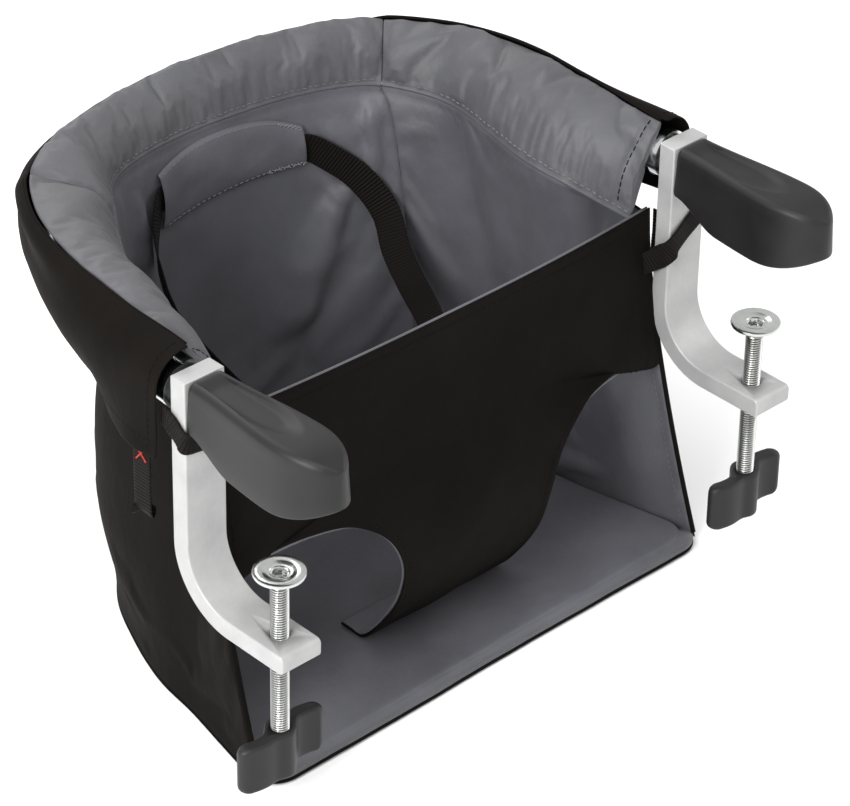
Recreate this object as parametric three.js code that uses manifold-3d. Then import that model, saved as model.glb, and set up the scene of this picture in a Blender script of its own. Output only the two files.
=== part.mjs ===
// Clip-on fabric baby seat that hooks onto the edge of a table.
// Two C-shaped clamp arms grip the table top, a bent tube runs round the back of the
// seat between them, and a fabric bag with a stiff base hangs from the tube.
// Millimetres, +Z up, table towards -Y. Left is -X, as seen from the table. The seat
// stands on its base. Every shape is placed from the clamp arms: their back faces lie
// at y = 0 and their tops at z = 0, and the whole group is lifted to the ground last.

import * as THREE from 'three';
import { mergeVertices } from 'three/addons/utils/BufferGeometryUtils.js';
import Module from 'manifold-3d';

const wasm = await Module();
wasm.setup();

// Clearances
const gap = 0.35;              // between pieces that touch on the real seat
const swivelGap = 0.5;         // between round pieces that turn in one another
const overrun = 1;             // how far a cutting tool passes its work

// Clamp arms: flat aluminium bars bent into a C
const armSpacing = 350;        // between the middles of the two arms
const barWidth = 26.5;
const barThickness = 11.2;
const barDrop = 140;           // from the top of the bar to the underside of its foot
const barReach = 83.5;         // from the back of the bar to the tip of its foot
const barBend = 30;            // inner radius of the bend
const barEdge = 0.8;           // rounding of the long edges
const footRound = 3;           // rounding of the tip of the foot
const tongueWidth = 15;        // tongue of the bar that carries the arm pad
const tongueHeight = 13;
const tongueDrop = 7;          // from the top of the bar to the top of its tongue
const tongueReach = 82;        // from the front of the bar

// Arm pads
const padLength = 106.5;
const padHeight = 40;
const padMaxWidth = 37;
const padDraft = 1.6;          // the pad is this much narrower at its top, each side
const padRearHeight = 29;
const padRise = 34;            // length over which the underside comes down from the rear
const padTopRound = 4;
const padFootRound = 1.6;
const dishWidth = 20;
const dishDepth = 1.5;
const padTipShare = 0.72;      // share of the length where the tip's curve begins
const dishEndShare = 0.62;

// Clamp screws with wide flat heads, and their wing knobs
const screwSetback = 17;       // from the tip of the foot to the screw's axis
const screwRadius = 5;
const screwHoleGap = 0.5;
const screwChamfer = 0.8;
const headRadius = 13.9;
const headRim = 2.2;
const headCone = 3.6;
const headEdge = 0.5;
const driveRadius = 4.6;
const driveDepth = 3.6;
const jawOpening = 49;         // from the underside of the pad to the screw's head
const knobBelowHead = 98.5;    // from the top of the head to the top of the knob
const knobHeight = 28.5;
const knobSpan = 54;
const knobWall = 8;
const knobWave = 4.2;          // how far the wings swing to either side
const knobHub = 9.4;
const knobCorner = 6;
const knobEdge = 1;
const knobSeat = 13.5;         // depth of the hole that takes the screw

// Frame tube and the swivel joint in each of its ends
const tubeRadius = 13.5;
const tubeWall = 1.6;
const tubeStart = 4;           // the tube's end, behind the back of the bar
const bushWall = 1.5;
const bushLength = 30;
const spigotWall = 2;
const spigotLength = 27;
const spigotFloor = 3;
const boltRadius = 3.9;
const boltHeadRadius = 5.6;
const boltHeadHeight = 3;
const boltBite = 8;            // depth of the bolt in the bar
const lockSetback = 13.5;      // from the back of the bar to the lock button
const lockRadius = 4.2;
const lockFlange = 4.9;
const lockFlangeHeight = 1.1;
const lockFlangeDepth = 5;     // of the flange's outer face, from the tube's axis
const lockStand = 2.2;         // how far the button stands out of the tube
const springWire = 1;
const springWidth = 5;
const springLength = 13;

// The rim's plan: the middle of the tube, from a front end to the middle of the back,
// as shares of half the arm spacing and of the tube's depth
const tubeDepth = 240;
const rimShares = [
  [1, 0], [1, 0.1], [1, 0.2], [0.985, 0.32], [0.957, 0.44], [0.914, 0.61],
  [0.866, 0.733], [0.794, 0.833], [0.686, 0.898], [0.526, 0.9375], [0.286, 0.977], [0, 1],
];
// The base's plan in the same order, as shares of its half width and its depth
const baseHalfWidth = 166;
const baseDepth = 239;
const baseFront = 47;          // the base's front edge, in front of the bar's back
const baseShares = [
  [0.985, 0.065], [0.985, 0.17], [0.964, 0.28], [0.9, 0.47], [0.81, 0.62],
  [0.69, 0.77], [0.48, 0.915], [0.24, 0.982], [0, 1],
];
const baseDrop = 247;          // from the top of the bar to the underside of the base
const baseCorner = 20;

// Fabric rim: a padded collar inside the tube and a cuff that hangs outside it
const clothThickness = 1.4;
const rimStart = 8;            // the cloth's front ends, behind the back of the bar
const seamHeight = 21.5;       // of the rim's top seam, from the middle of the tube
const seamIn = 5;              // of the same seam, towards the seat
const collarReach = 46;        // of the collar's stitched edge, towards the seat
const collarCornerReach = 38;  // the same at the two rear corners
const collarCornerShare = 0.1; // share of the rim over which it changes
const collarDrop = 8;          // of that edge, below the middle of the tube
const collarFrontReach = 20;   // the same two sizes at the front ends
const collarFrontDrop = 31;
const collarSettleShare = 0.3; // share of half the rim over which they change
const collarLip = 3;           // thickness of the collar at its stitched edge
const collarCrown = 2.5;
const collarFrontCrown = 8.6;
const collarHollow = 3;
const cuffDrop = 37;           // of the cuff's lower edge, below the middle of the tube
// The cuff's section: shares of the seam's height above the tube, outwards and up
const cuffTopShares = [[-0.2, 1], [0.15, 0.97], [0.48, 0.8], [0.7, 0.5], [0.78, 0.1]];

// Bag walls
const linerGap = 0.6;          // between the outer cloth and the liner
const wallTopDrop = 5;         // of the wall's top edge, below the collar's stitched edge
const wallFrontPower = 2.2;    // how late the walls take the base's plan, at the front
const wallBackPower = 0.6;
const backShare = 0.42;        // share of half the rim that belongs to the back wall
const foldDepth = 3;           // soft folds in the back liner
const folds = 3;
const foldTopShare = 0.22;

// Base
const boardThickness = 5;
const underCloth = 1.6;
const seatPadThickness = 4;
const seatPadCrown = 2;
const seatPadEdge = 5;         // width of the pad's rounded edge
const seatPadFlat = 60;        // width of its crown's slope
const baseInset = 4.2;         // of the base cloth's front edge, from the base's front
const seatInset = 7;           // of the board and pad, from the base's outline
const bindingRadius = 1.7;     // of the cord in the binding's lower edge
const bindingHeight = 11;
const bindingWall = 1.4;

// Front panel and crotch piece, from the top down. Each row has the panel's half width
// as a share of its greatest, then two pairs, at the edge and in the middle: the height
// as a share of the base's drop, and the step forward as a share of the bulge
const panelHalfWidth = 154;
const panelBack = 11;          // of the top corners, behind the back of the bar
const panelBulge = 42;
const panelShares = [
  [1, 0.188, 0, 0.17, 0.19],
  [1, 0.26, 0.01, 0.23, 0.26],
  [1, 0.36, 0.05, 0.285, 0.31],
  [1, 0.47, 0.12, 0.335, 0.37],
  [1, 0.585, 0.25, 0.38, 0.44],
  [0.83, 0.537, 0.42, 0.42, 0.52],
  [0.68, 0.505, 0.62, 0.46, 0.62],
  [0.53, 0.52, 0.8, 0.51, 0.77],
  [0.42, 0.58, 0.93, 0.575, 0.93],
  [0.36, 0.66, 0.98, 0.66, 0.98],
  [0.33, 0.76, 0.85, 0.76, 0.86],
  [0.32, 0.86, 0.52, 0.86, 0.54],
];
const crotchEndShare = 0.32;   // half width of the crotch piece's end
const crotchFlapStart = 6;     // of its end on the seat, behind the back of the bar
const crotchFlap = 27;

// Webbing
const strapWidth = 13;
const strapThickness = 1.3;
const strapInset = 9;          // of the strap's sewn end, from the bar's inner edge
const strapLow = 76;           // heights of its middle, below the top of the bar
const strapMid = 68;
const strapHigh = 46;
const strapEnd = 30;
const beltWidth = 20;
const beltThickness = 1.2;
const tunnelHalfWidth = 54;
const tunnelTopShare = 0.02;   // shares of the wall's height
const tunnelFootShare = 0.18;
const tunnelSlack = 0.4;
// One belt's free run, from the tunnel to the buckle: shares of half the arm spacing,
// of the tube's depth and of the base's drop
const beltShares = [
  [0.38, 0.76, 0.21], [0.47, 0.71, 0.255], [0.53, 0.64, 0.31], [0.555, 0.56, 0.385],
  [0.52, 0.455, 0.47], [0.45, 0.345, 0.55], [0.35, 0.235, 0.62], [0.26, 0.15, 0.665],
];
const tabWidth = 13;
const tabLength = 50;
const tabFold = 3.6;           // between the two layers of the tab
const tabStart = 22;           // of the tab's middle, behind the back of the bar
const tackWidth = 8;
const tackHeight = 6;
const tackThickness = 0.5;

// Buckle
const socketLength = 34;
const socketHeight = 26;
const socketThickness = 8.4;
const tongueBlade = 18;
const bladeHeight = 18;
const bladeThickness = 3.6;
const gripLength = 12;
const gripHeight = 23;
const gripThickness = 6.4;
const buckleBack = 24;         // of the buckle, behind the back of the bar
const buckleDrop = 168;

// Colour, roughness and metalness of each material
const looks = {
  bar: [0xc9cac9, 0.45, 0.9],
  pad: [0x4b4b4d, 0.5, 0],
  zinc: [0xc4c6c4, 0.25, 1],
  knob: [0x414143, 0.55, 0],
  tube: [0xb8babc, 0.2, 1],
  plastic: [0x19191a, 0.5, 0],
  black: [0x1f1c1a, 0.9, 0],
  grey: [0x626267, 0.85, 0],
  webbing: [0x1b1715, 0.9, 0],
  board: [0x8a7a66, 0.8, 0],
  thread: [0xb32a20, 0.8, 0],
};

const point = (x, y, z) => new THREE.Vector3(x, y, z);
const mix = (a, b, t) => a + (b - a) * t;
const smooth = (t) => {
  const c = Math.min(Math.max(t, 0), 1);
  return c * c * (3 - 2 * c);
};
const range = (count, from, to) => (
  Array.from({ length: count + 1 }, (_, i) => mix(from, to, i / count))
);

// Solids and booleans

function solidOf(geometry) {
  const bare = geometry.clone();
  bare.deleteAttribute('normal');
  bare.deleteAttribute('uv');
  const merged = mergeVertices(bare, gap / 1000);
  return new wasm.Manifold(new wasm.Mesh({
    numProp: 3,
    vertProperties: new Float32Array(merged.attributes.position.array),
    triVerts: new Uint32Array(merged.index.array),
  }));
}

function geometryOf(solid) {
  const mesh = solid.getMesh();
  const places = [];
  for (let i = 0; i < mesh.vertProperties.length; i += mesh.numProp) {
    places.push(...mesh.vertProperties.slice(i, i + 3));
  }
  const geometry = new THREE.BufferGeometry();
  geometry.setAttribute('position', new THREE.Float32BufferAttribute(places, 3));
  geometry.setIndex([...mesh.triVerts]);
  geometry.computeVertexNormals();
  return geometry;
}

const cut = (geometry, ...tools) => (
  geometryOf(tools.reduce((left, tool) => left.subtract(solidOf(tool)), solidOf(geometry)))
);
const join = (geometry, ...others) => (
  geometryOf(others.reduce((left, other) => left.add(solidOf(other)), solidOf(geometry)))
);
const common = (geometry, other) => geometryOf(solidOf(geometry).intersect(solidOf(other)));

// A closed body from triangles, turned as a whole so that its faces point out
function closedBody(places, faces) {
  const volume = faces.reduce((sum, [a, b, c]) => (
    sum + places[a].dot(point(0, 0, 0).crossVectors(places[b], places[c]))
  ), 0);
  const geometry = new THREE.BufferGeometry();
  const flat = places.flatMap((p) => [p.x, p.y, p.z]);
  geometry.setAttribute('position', new THREE.Float32BufferAttribute(flat, 3));
  geometry.setIndex(faces.flatMap(([a, b, c]) => (volume > 0 ? [a, b, c] : [a, c, b])));
  geometry.computeVertexNormals();
  return geometry;
}

// Joins closed outlines of equal point count, one after another, and caps both ends
function loft(rings) {
  const count = rings[0].length;
  const faces = [];
  for (let i = 0; i + 1 < rings.length; i += 1) {
    for (let j = 0; j < count; j += 1) {
      const a = i * count + j;
      const b = i * count + ((j + 1) % count);
      faces.push([a, b, b + count], [a, b + count, a + count]);
    }
  }
  const addCap = (ring, start, forward) => {
    const normal = point(0, 0, 0);
    const middle = ring.reduce((sum, p) => sum.add(p), point(0, 0, 0)).divideScalar(count);
    const spokes = ring.map((p) => p.clone().sub(middle));
    spokes.forEach((p, j) => {
      normal.add(point(0, 0, 0).crossVectors(p, spokes[(j + 1) % count]));
    });
    normal.normalize();
    const across = spokes[0].clone().addScaledVector(normal, -spokes[0].dot(normal)).normalize();
    const along = point(0, 0, 0).crossVectors(normal, across);
    const flat = spokes.map((p) => new THREE.Vector2(p.dot(across), p.dot(along)));
    for (const [a, b, c] of THREE.ShapeUtils.triangulateShape(flat, [])) {
      const turn = flat[b].clone().sub(flat[a]).cross(flat[c].clone().sub(flat[a]));
      const kept = (turn > 0) === forward;
      faces.push([a, kept ? b : c, kept ? c : b].map((k) => k + start));
    }
  };
  addCap(rings[0], 0, false);
  addCap(rings[rings.length - 1], (rings.length - 1) * count, true);
  return closedBody(rings.flat(), faces);
}

// A closed body between two grids of places that lie face to face
function between(under, over) {
  const rows = under.length;
  const columns = under[0].length;
  const id = (i, j, side) => (side * rows + i) * columns + j;
  const faces = [];
  const quad = (a, b, c, d) => faces.push([a, b, c], [a, c, d]);
  const lastRow = rows - 1;
  const lastColumn = columns - 1;
  for (let i = 0; i < lastRow; i += 1) {
    for (let j = 0; j < lastColumn; j += 1) {
      quad(id(i, j, 0), id(i + 1, j, 0), id(i + 1, j + 1, 0), id(i, j + 1, 0));
      quad(id(i, j, 1), id(i, j + 1, 1), id(i + 1, j + 1, 1), id(i + 1, j, 1));
    }
    quad(id(i, 0, 0), id(i, 0, 1), id(i + 1, 0, 1), id(i + 1, 0, 0));
    quad(
      id(i, lastColumn, 1), id(i, lastColumn, 0),
      id(i + 1, lastColumn, 0), id(i + 1, lastColumn, 1),
    );
  }
  for (let j = 0; j < lastColumn; j += 1) {
    quad(id(0, j, 1), id(0, j, 0), id(0, j + 1, 0), id(0, j + 1, 1));
    quad(
      id(lastRow, j, 0), id(lastRow, j, 1), id(lastRow, j + 1, 1), id(lastRow, j + 1, 0),
    );
  }
  return closedBody([...under.flat(), ...over.flat()], faces);
}

// Cloth: a grid of places given a thickness along its normals, from one offset to
// another, both towards the side from which rows turn left into columns
function cloth(grid, low, high) {
  const at = (i, j) => {
    const row = grid[THREE.MathUtils.clamp(i, 0, grid.length - 1)];
    return row[THREE.MathUtils.clamp(j, 0, row.length - 1)];
  };
  const shifted = (distance) => grid.map((row, i) => row.map((place, j) => {
    const u = point(0, 0, 0).subVectors(at(i + 1, j), at(i - 1, j));
    const v = point(0, 0, 0).subVectors(at(i, j + 1), at(i, j - 1));
    return place.clone().addScaledVector(v.cross(u).normalize(), distance);
  }));
  return between(shifted(low), shifted(high));
}

// An outline raised to a height, with its edges rounded
function raised(shape, height, edge, steps) {
  const geometry = new THREE.ExtrudeGeometry(shape, {
    depth: height - 2 * edge,
    bevelEnabled: edge > 0,
    bevelSize: edge,
    bevelThickness: edge,
    bevelOffset: -edge,
    bevelSegments: 1,
    curveSegments: steps,
  });
  return geometry.translate(0, 0, edge);
}

// The same for an outline drawn in the upright plane that runs towards the table
function sideways(shape, width, edge, steps) {
  const turn = new THREE.Matrix4().makeBasis(point(0, 1, 0), point(0, 0, 1), point(1, 0, 0));
  return raised(shape, width, edge, steps).translate(0, 0, -width / 2).applyMatrix4(turn);
}

// A turned body about the Y axis, or about the Z axis
const turned = (profile, sides) => (
  new THREE.LatheGeometry(profile.map(([r, h]) => new THREE.Vector2(r, h)), sides)
);
const turnedUpright = (profile, sides) => turned(profile, sides).rotateX(Math.PI / 2);

const block = (x, y, z, at) => new THREE.BoxGeometry(x, y, z).translate(at.x, at.y, at.z);

// Webbing: a flat band along the places, its width turned to the given direction
function band(places, across, width, thickness) {
  return loft(places.map((p, i) => {
    const ahead = places[Math.min(i + 1, places.length - 1)];
    const along = ahead.clone().sub(places[Math.max(i - 1, 0)]).normalize();
    const side = across.clone().addScaledVector(along, -across.dot(along));
    side.setLength(width / 2);
    const out = point(0, 0, 0).crossVectors(along, side).setLength(thickness / 2);
    return [[1, 1], [-1, 1], [-1, -1], [1, -1]].map(([a, b]) => (
      p.clone().addScaledVector(side, a).addScaledVector(out, b)
    ));
  }));
}

// The rim and the base in plan

const tubeHeight = -tubeRadius;
const armX = armSpacing / 2;

function planCurve(shares, halfWidth, front, depth, height) {
  const right = shares.map(([x, y]) => point(x * halfWidth, front + y * depth, height));
  const left = right.slice(0, -1).map((p) => point(-p.x, p.y, p.z)).reverse();
  return new THREE.CatmullRomCurve3([...right, ...left], false, 'centripetal');
}

const rimCurve = planCurve(rimShares, armX, tubeStart, tubeDepth, tubeHeight);
const baseCurve = planCurve(baseShares, baseHalfWidth, -baseFront, baseDepth, 0);

// A place on a plan curve, moved outwards. Shares run from the right front (0) round
// the back to the left front (1)
function onPlan(curve, share, outward) {
  const tangent = curve.getTangentAt(share);
  const out = point(tangent.y, -tangent.x, 0).normalize();
  return curve.getPointAt(share).addScaledVector(out, outward);
}

// The seams between the back and the sides, and how far round a share is: 0 at a front
// end and 1 at the middle of the back
const cornerShare = (1 - backShare) / 2;
const roundness = (share) => 1 - Math.abs(2 * share - 1);
const settled = (share) => smooth(roundness(share) / collarSettleShare);

// The rim's cloth starts behind the tube's ends
const clothStartShare = (rimStart - tubeStart) / rimCurve.getLength();
const rimPoint = (share, outward, rise) => (
  onPlan(rimCurve, mix(clothStartShare, 1 - clothStartShare, share), outward)
    .add(point(0, 0, rise))
);

// The collar's stitched edge, from which the bag hangs
function stitchReach(share) {
  const reach = mix(collarFrontReach, collarReach, settled(share));
  const toCorner = Math.abs(roundness(share) - 2 * cornerShare) / (2 * collarCornerShare);
  return mix(collarCornerReach, reach, smooth(toCorner));
}
const stitchDrop = (share) => mix(collarFrontDrop, collarDrop, settled(share));

const layer = linerGap / 2 + clothThickness;   // from a wall's middle to its surface
const wallFoot = underCloth + gap;

// A place on the middle of the bag's wall: 0 is its top edge and 1 its foot
function wallPoint(share, down) {
  const top = rimPoint(share, layer - stitchReach(share), -stitchDrop(share) - wallTopDrop);
  const foot = onPlan(baseCurve, share, 0).setZ(wallFoot - baseDrop);
  const t = down ** mix(wallFrontPower, wallBackPower, settled(share));
  return point(mix(top.x, foot.x, t), mix(top.y, foot.y, t), mix(top.z, foot.z, down));
}

// The three stretches of the rim: right side, back and left side
const stretches = {
  right: { from: 0, to: cornerShare, steps: 10 },
  back: { from: cornerShare, to: 1 - cornerShare, steps: 16 },
  left: { from: 1 - cornerShare, to: 1, steps: 10 },
};

// The places of a stretch, ring by ring. Its end rings stand back from the seams
function rings({ from, to, steps }, ringAt) {
  return range(steps, from, to).map((share, i) => {
    const back = (i === 0 && from > 0 ? gap : 0) - (i === steps && to < 1 ? gap : 0);
    const tangent = rimCurve.getTangentAt(share);
    return ringAt(share).map((place) => place.addScaledVector(tangent, back / 2));
  });
}

// Pieces of one clamp, drawn about the middle of its bar

const screwY = screwSetback - barReach;
const headTop = -(padHeight + jawOpening);
const spigotRadius = tubeRadius - tubeWall - 2 * swivelGap - bushWall;

function clampBar() {
  const bendTop = -(barDrop - barThickness - barBend);
  const bendFront = -(barThickness + barBend);
  const footTop = -(barDrop - barThickness);
  const tip = -barReach + footRound;
  const quarter = Math.PI / 2;
  const shape = new THREE.Shape();
  shape.moveTo(0, 0);
  shape.lineTo(-barThickness, 0);
  shape.lineTo(-barThickness, bendTop);
  shape.absarc(bendFront, bendTop, barBend, 0, -quarter, true);
  shape.lineTo(tip, footTop);
  shape.absarc(tip, footTop - footRound, footRound, quarter, 2 * quarter, false);
  shape.absarc(tip, footRound - barDrop, footRound, 2 * quarter, 3 * quarter, false);
  shape.lineTo(bendFront, -barDrop);
  shape.absarc(bendFront, bendTop, barBend + barThickness, -quarter, 0, false);
  const bar = sideways(shape, barWidth, barEdge, 8);
  const length = tongueReach + barThickness / 2;
  const middle = point(0, -(barThickness / 2 + length / 2), -tongueDrop - tongueHeight / 2);
  const tongue = block(tongueWidth, length, tongueHeight, middle);
  const holeRadius = screwRadius + screwHoleGap;
  const hole = turnedUpright([
    [0, -overrun], [holeRadius, -overrun], [holeRadius, barThickness + overrun],
    [0, barThickness + overrun],
  ], 20).translate(0, screwY, -barDrop);
  const boltHole = turned([
    [0, 0], [boltRadius + gap, 0], [boltRadius + gap, boltBite + overrun],
    [0, boltBite + overrun],
  ], 12).translate(0, -boltBite, tubeHeight);
  return cut(join(bar, tongue), hole, boltHole);
}

// The pad is drawn as upright sections from its rear to its tip
function armPad() {
  const rear = -(barThickness + gap);
  const stations = [0, 0.08, 0.18, 0.3, 0.42, 0.54, 0.64, 0.74, 0.82, 0.89, 0.945, 0.98, 0.998];
  const rings = stations.map((t) => {
    const swell = smooth(t / padTipShare);
    const tip = Math.max(t - padTipShare, 0) / (1 - padTipShare);
    const rounding = Math.sqrt(1 - tip * tip);
    const half = (mix(barWidth, padMaxWidth, swell) / 2) * rounding;
    const foot = -mix(padRearHeight, padHeight, smooth((t * padLength) / padRise));
    const top = -padTopRound * tip ** 4;
    const shoulder = Math.min(padTopRound, half / 2);
    const corner = Math.min(padFootRound, half / 4);
    const draft = Math.min(padDraft, half / 4);
    const dish = dishDepth * smooth(t / (1 - padTipShare)) * smooth((dishEndShare - t) * 4);
    const dished = Math.min(dishWidth / 2, half - draft - shoulder);
    const side = [
      [half - corner, foot],
      [half, foot + corner],
      [half - draft, top - shoulder],
      [half - draft - shoulder / 4, top - shoulder / 4],
      [half - draft - shoulder, top],
      [dished / 2, top - dish],
    ];
    const outline = [...side, ...side.map(([x, z]) => [-x, z]).reverse()];
    return outline.map(([x, z]) => point(x, rear - t * padLength, z));
  });
  const pocketLength = tongueReach + gap + overrun;
  const pocket = block(
    tongueWidth + 2 * gap, pocketLength, tongueHeight + 2 * gap,
    point(0, rear + overrun - pocketLength / 2, -tongueDrop - tongueHeight / 2),
  );
  return cut(loft(rings), pocket);
}

function clampScrew() {
  const length = knobBelowHead + knobSeat;
  const under = -(headRim + headCone);
  const body = turnedUpright([
    [0, -length], [screwRadius - screwChamfer, -length], [screwRadius, screwChamfer - length],
    [screwRadius, under], [headRadius - headEdge, -headRim], [headRadius, headEdge - headRim],
    [headRadius, -headEdge], [headRadius - headEdge, 0], [0, 0],
  ], 24);
  const drive = turnedUpright([
    [0, -driveDepth], [driveRadius, -driveDepth], [driveRadius, overrun], [0, overrun],
  ], 6);
  return cut(body, drive);
}

// The knob's plan is an S: two wings that swing to opposite sides of a round hub
function wingKnob() {
  const half = knobSpan / 2;
  const reach = half - knobWall / 2;
  const bend = (x) => knobWave * Math.sin((Math.PI * x) / half);
  const thick = (x) => {
    const hub = Math.sqrt(Math.max(knobHub ** 2 - x ** 2, 0));
    return Math.max(hub, knobWall / 2);
  };
  const places = range(24, -reach, reach);
  const ends = range(5, Math.PI / 2, -Math.PI / 2).slice(1, -1);
  const outline = [
    ...places.map((x) => [x, bend(x) + thick(x)]),
    ...ends.map((a) => [
      reach + (knobWall / 2) * Math.cos(a), bend(reach) + (knobWall / 2) * Math.sin(a),
    ]),
    ...places.slice().reverse().map((x) => [x, bend(x) - thick(x)]),
    ...ends.map((a) => [
      -reach - (knobWall / 2) * Math.cos(a), bend(-reach) - (knobWall / 2) * Math.sin(a),
    ]),
  ];
  const shape = new THREE.Shape(outline.map(([x, y]) => new THREE.Vector2(x, y)));
  const wings = raised(shape, knobHeight, knobEdge, 1).translate(0, 0, -knobHeight);
  const face = new THREE.Shape();
  const inner = half - knobCorner;
  face.absarc(inner, -knobCorner, knobCorner, 0, Math.PI / 2, false);
  face.absarc(-inner, -knobCorner, knobCorner, Math.PI / 2, Math.PI, false);
  face.absarc(-inner, knobCorner - knobHeight, knobCorner, Math.PI, 1.5 * Math.PI, false);
  face.absarc(inner, knobCorner - knobHeight, knobCorner, 1.5 * Math.PI, 2 * Math.PI, false);
  const depth = 4 * knobHub;
  const sheet = raised(face, depth, 0, 4).translate(0, 0, -depth / 2).rotateX(Math.PI / 2);
  const seat = turnedUpright([
    [0, -knobSeat - gap], [screwRadius + gap, -knobSeat - gap],
    [screwRadius + gap, overrun], [0, overrun],
  ], 16);
  return cut(common(wings, sheet), seat);
}

function spigot() {
  const bore = boltRadius + gap;
  const inside = spigotRadius - spigotWall;
  const cup = turned([
    [bore, 0], [spigotRadius, 0], [spigotRadius, spigotLength], [inside, spigotLength],
    [inside, spigotFloor], [bore, spigotFloor], [bore, 0],
  ], 20).translate(0, gap, tubeHeight);
  const hole = turnedUpright([
    [0, 0], [lockRadius + gap, 0], [lockRadius + gap, 2 * spigotRadius], [0, 2 * spigotRadius],
  ], 14).translate(0, lockSetback, tubeHeight - 2 * spigotRadius);
  return cut(cup, hole);
}

function pivotBolt() {
  const floor = 2 * gap + spigotFloor;
  return turned([
    [0, gap - boltBite], [boltRadius, gap - boltBite], [boltRadius, floor],
    [boltHeadRadius, floor], [boltHeadRadius, floor + boltHeadHeight],
    [0, floor + boltHeadHeight],
  ], 12).translate(0, 0, tubeHeight);
}

// The lock button points straight down through the spigot, the bush and the tube
function lockButton() {
  const inner = lockFlangeDepth - lockFlangeHeight;
  const outer = tubeRadius + lockStand;
  return turnedUpright([
    [0, -outer], [lockRadius - overrun, -outer], [lockRadius, overrun - outer],
    [lockRadius, -lockFlangeDepth], [lockFlange, -lockFlangeDepth], [lockFlange, -inner],
    [0, -inner],
  ], 14).translate(0, lockSetback, tubeHeight);
}

// A leaf bent into a U: one arm under the button's flange, the other on the far wall
function buttonSpring() {
  const near = lockFlangeDepth - lockFlangeHeight - gap - springWire / 2;
  const inside = spigotRadius - spigotWall;
  const far = Math.sqrt(inside ** 2 - (springWidth / 2 + gap) ** 2) - gap - springWire / 2;
  const start = lockSetback - springWidth / 2;
  const end = start + springLength;
  const places = [
    [start, near], [mix(start, end, 0.5), near * 0.8], [mix(start, end, 0.85), near * 0.4],
    [end, -springWire / 2], [mix(start, end, 0.85), -far * 0.45],
    [mix(start, end, 0.5), -far * 0.85], [start, -far],
  ].map(([y, depth]) => point(0, y, tubeHeight - depth));
  return band(places, point(1, 0, 0), springWidth, springWire);
}

// The slot lets the button swing from straight down to level, towards the seat
function lockSlot(side) {
  const inner = spigotRadius - spigotWall;
  const outer = tubeRadius + overrun;
  const spread = Math.asin((lockRadius + gap) / spigotRadius);
  const down = 1.5 * Math.PI;
  const level = side > 0 ? Math.PI : 2 * Math.PI;
  const from = Math.min(down, level) - spread;
  const to = Math.max(down, level) + spread;
  const shape = new THREE.Shape();
  shape.absarc(0, 0, outer, from, to, false);
  shape.absarc(0, 0, inner, to, from, true);
  const width = 2 * (lockRadius + gap);
  const tool = raised(shape, width, 0, 8).translate(0, 0, -width / 2).rotateX(Math.PI / 2);
  return tool.translate(0, lockSetback, tubeHeight);
}

function bush(side) {
  const outer = tubeRadius - tubeWall - swivelGap;
  const inner = outer - bushWall;
  const sleeve = turned([
    [inner, 0], [outer, 0], [outer, bushLength], [inner, bushLength], [inner, 0],
  ], 20).translate(0, gap, tubeHeight);
  return cut(sleeve, lockSlot(side));
}

// From the front panel's corner, across the front of the bar and round its outer side.
// Its sections are upright, because it bends round upright edges
function armStrap(side) {
  const off = gap + strapThickness / 2;
  const edge = barWidth / 2 + off;
  const front = -(barThickness + off);
  const places = [
    [-edge - strapInset, panelBack - layer - gap - 2 * strapThickness, strapLow],
    [-edge, front, strapMid],
    [edge, front, strapHigh],
    [edge, off, strapEnd],
    [edge - strapThickness, rimStart - strapThickness, strapEnd],
  ].map(([x, y, drop]) => point(side * x, y, -drop));
  return loft(places.map((place, i) => {
    const ahead = places[Math.min(i + 1, places.length - 1)].clone().sub(place);
    const behind = place.clone().sub(places[Math.max(i - 1, 0)]);
    const runs = [behind, ahead].filter((run) => run.length() > 0);
    const slant = Math.max(...runs.map((run) => run.length() / Math.hypot(run.x, run.y)));
    const sides = runs.map((run) => point(run.y, -run.x, 0).normalize());
    const out = sides[0].clone().add(sides[sides.length - 1]).normalize();
    out.multiplyScalar(strapThickness / 2 / out.dot(sides[0]));
    const up = point(0, 0, (slant * strapWidth) / 2);
    return [[1, 1], [-1, 1], [-1, -1], [1, -1]].map(([a, b]) => (
      place.clone().addScaledVector(up, a).addScaledVector(out, b)
    ));
  }));
}

// The rest of the frame

function frameTube() {
  const shape = new THREE.Shape();
  shape.absarc(0, 0, tubeRadius, 0, 2 * Math.PI, false);
  const bore = new THREE.Path();
  bore.absarc(0, 0, tubeRadius - tubeWall, 0, 2 * Math.PI, true);
  shape.holes.push(bore);
  const tube = new THREE.ExtrudeGeometry(shape, {
    steps: 42, bevelEnabled: false, curveSegments: 7, extrudePath: rimCurve,
  });
  return cut(tube, lockSlot(1).translate(armX, 0, 0), lockSlot(-1).translate(-armX, 0, 0));
}

// Fabric rim

const cuffSide = cuffTopShares[cuffTopShares.length - 1][0] * seamHeight;

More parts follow.
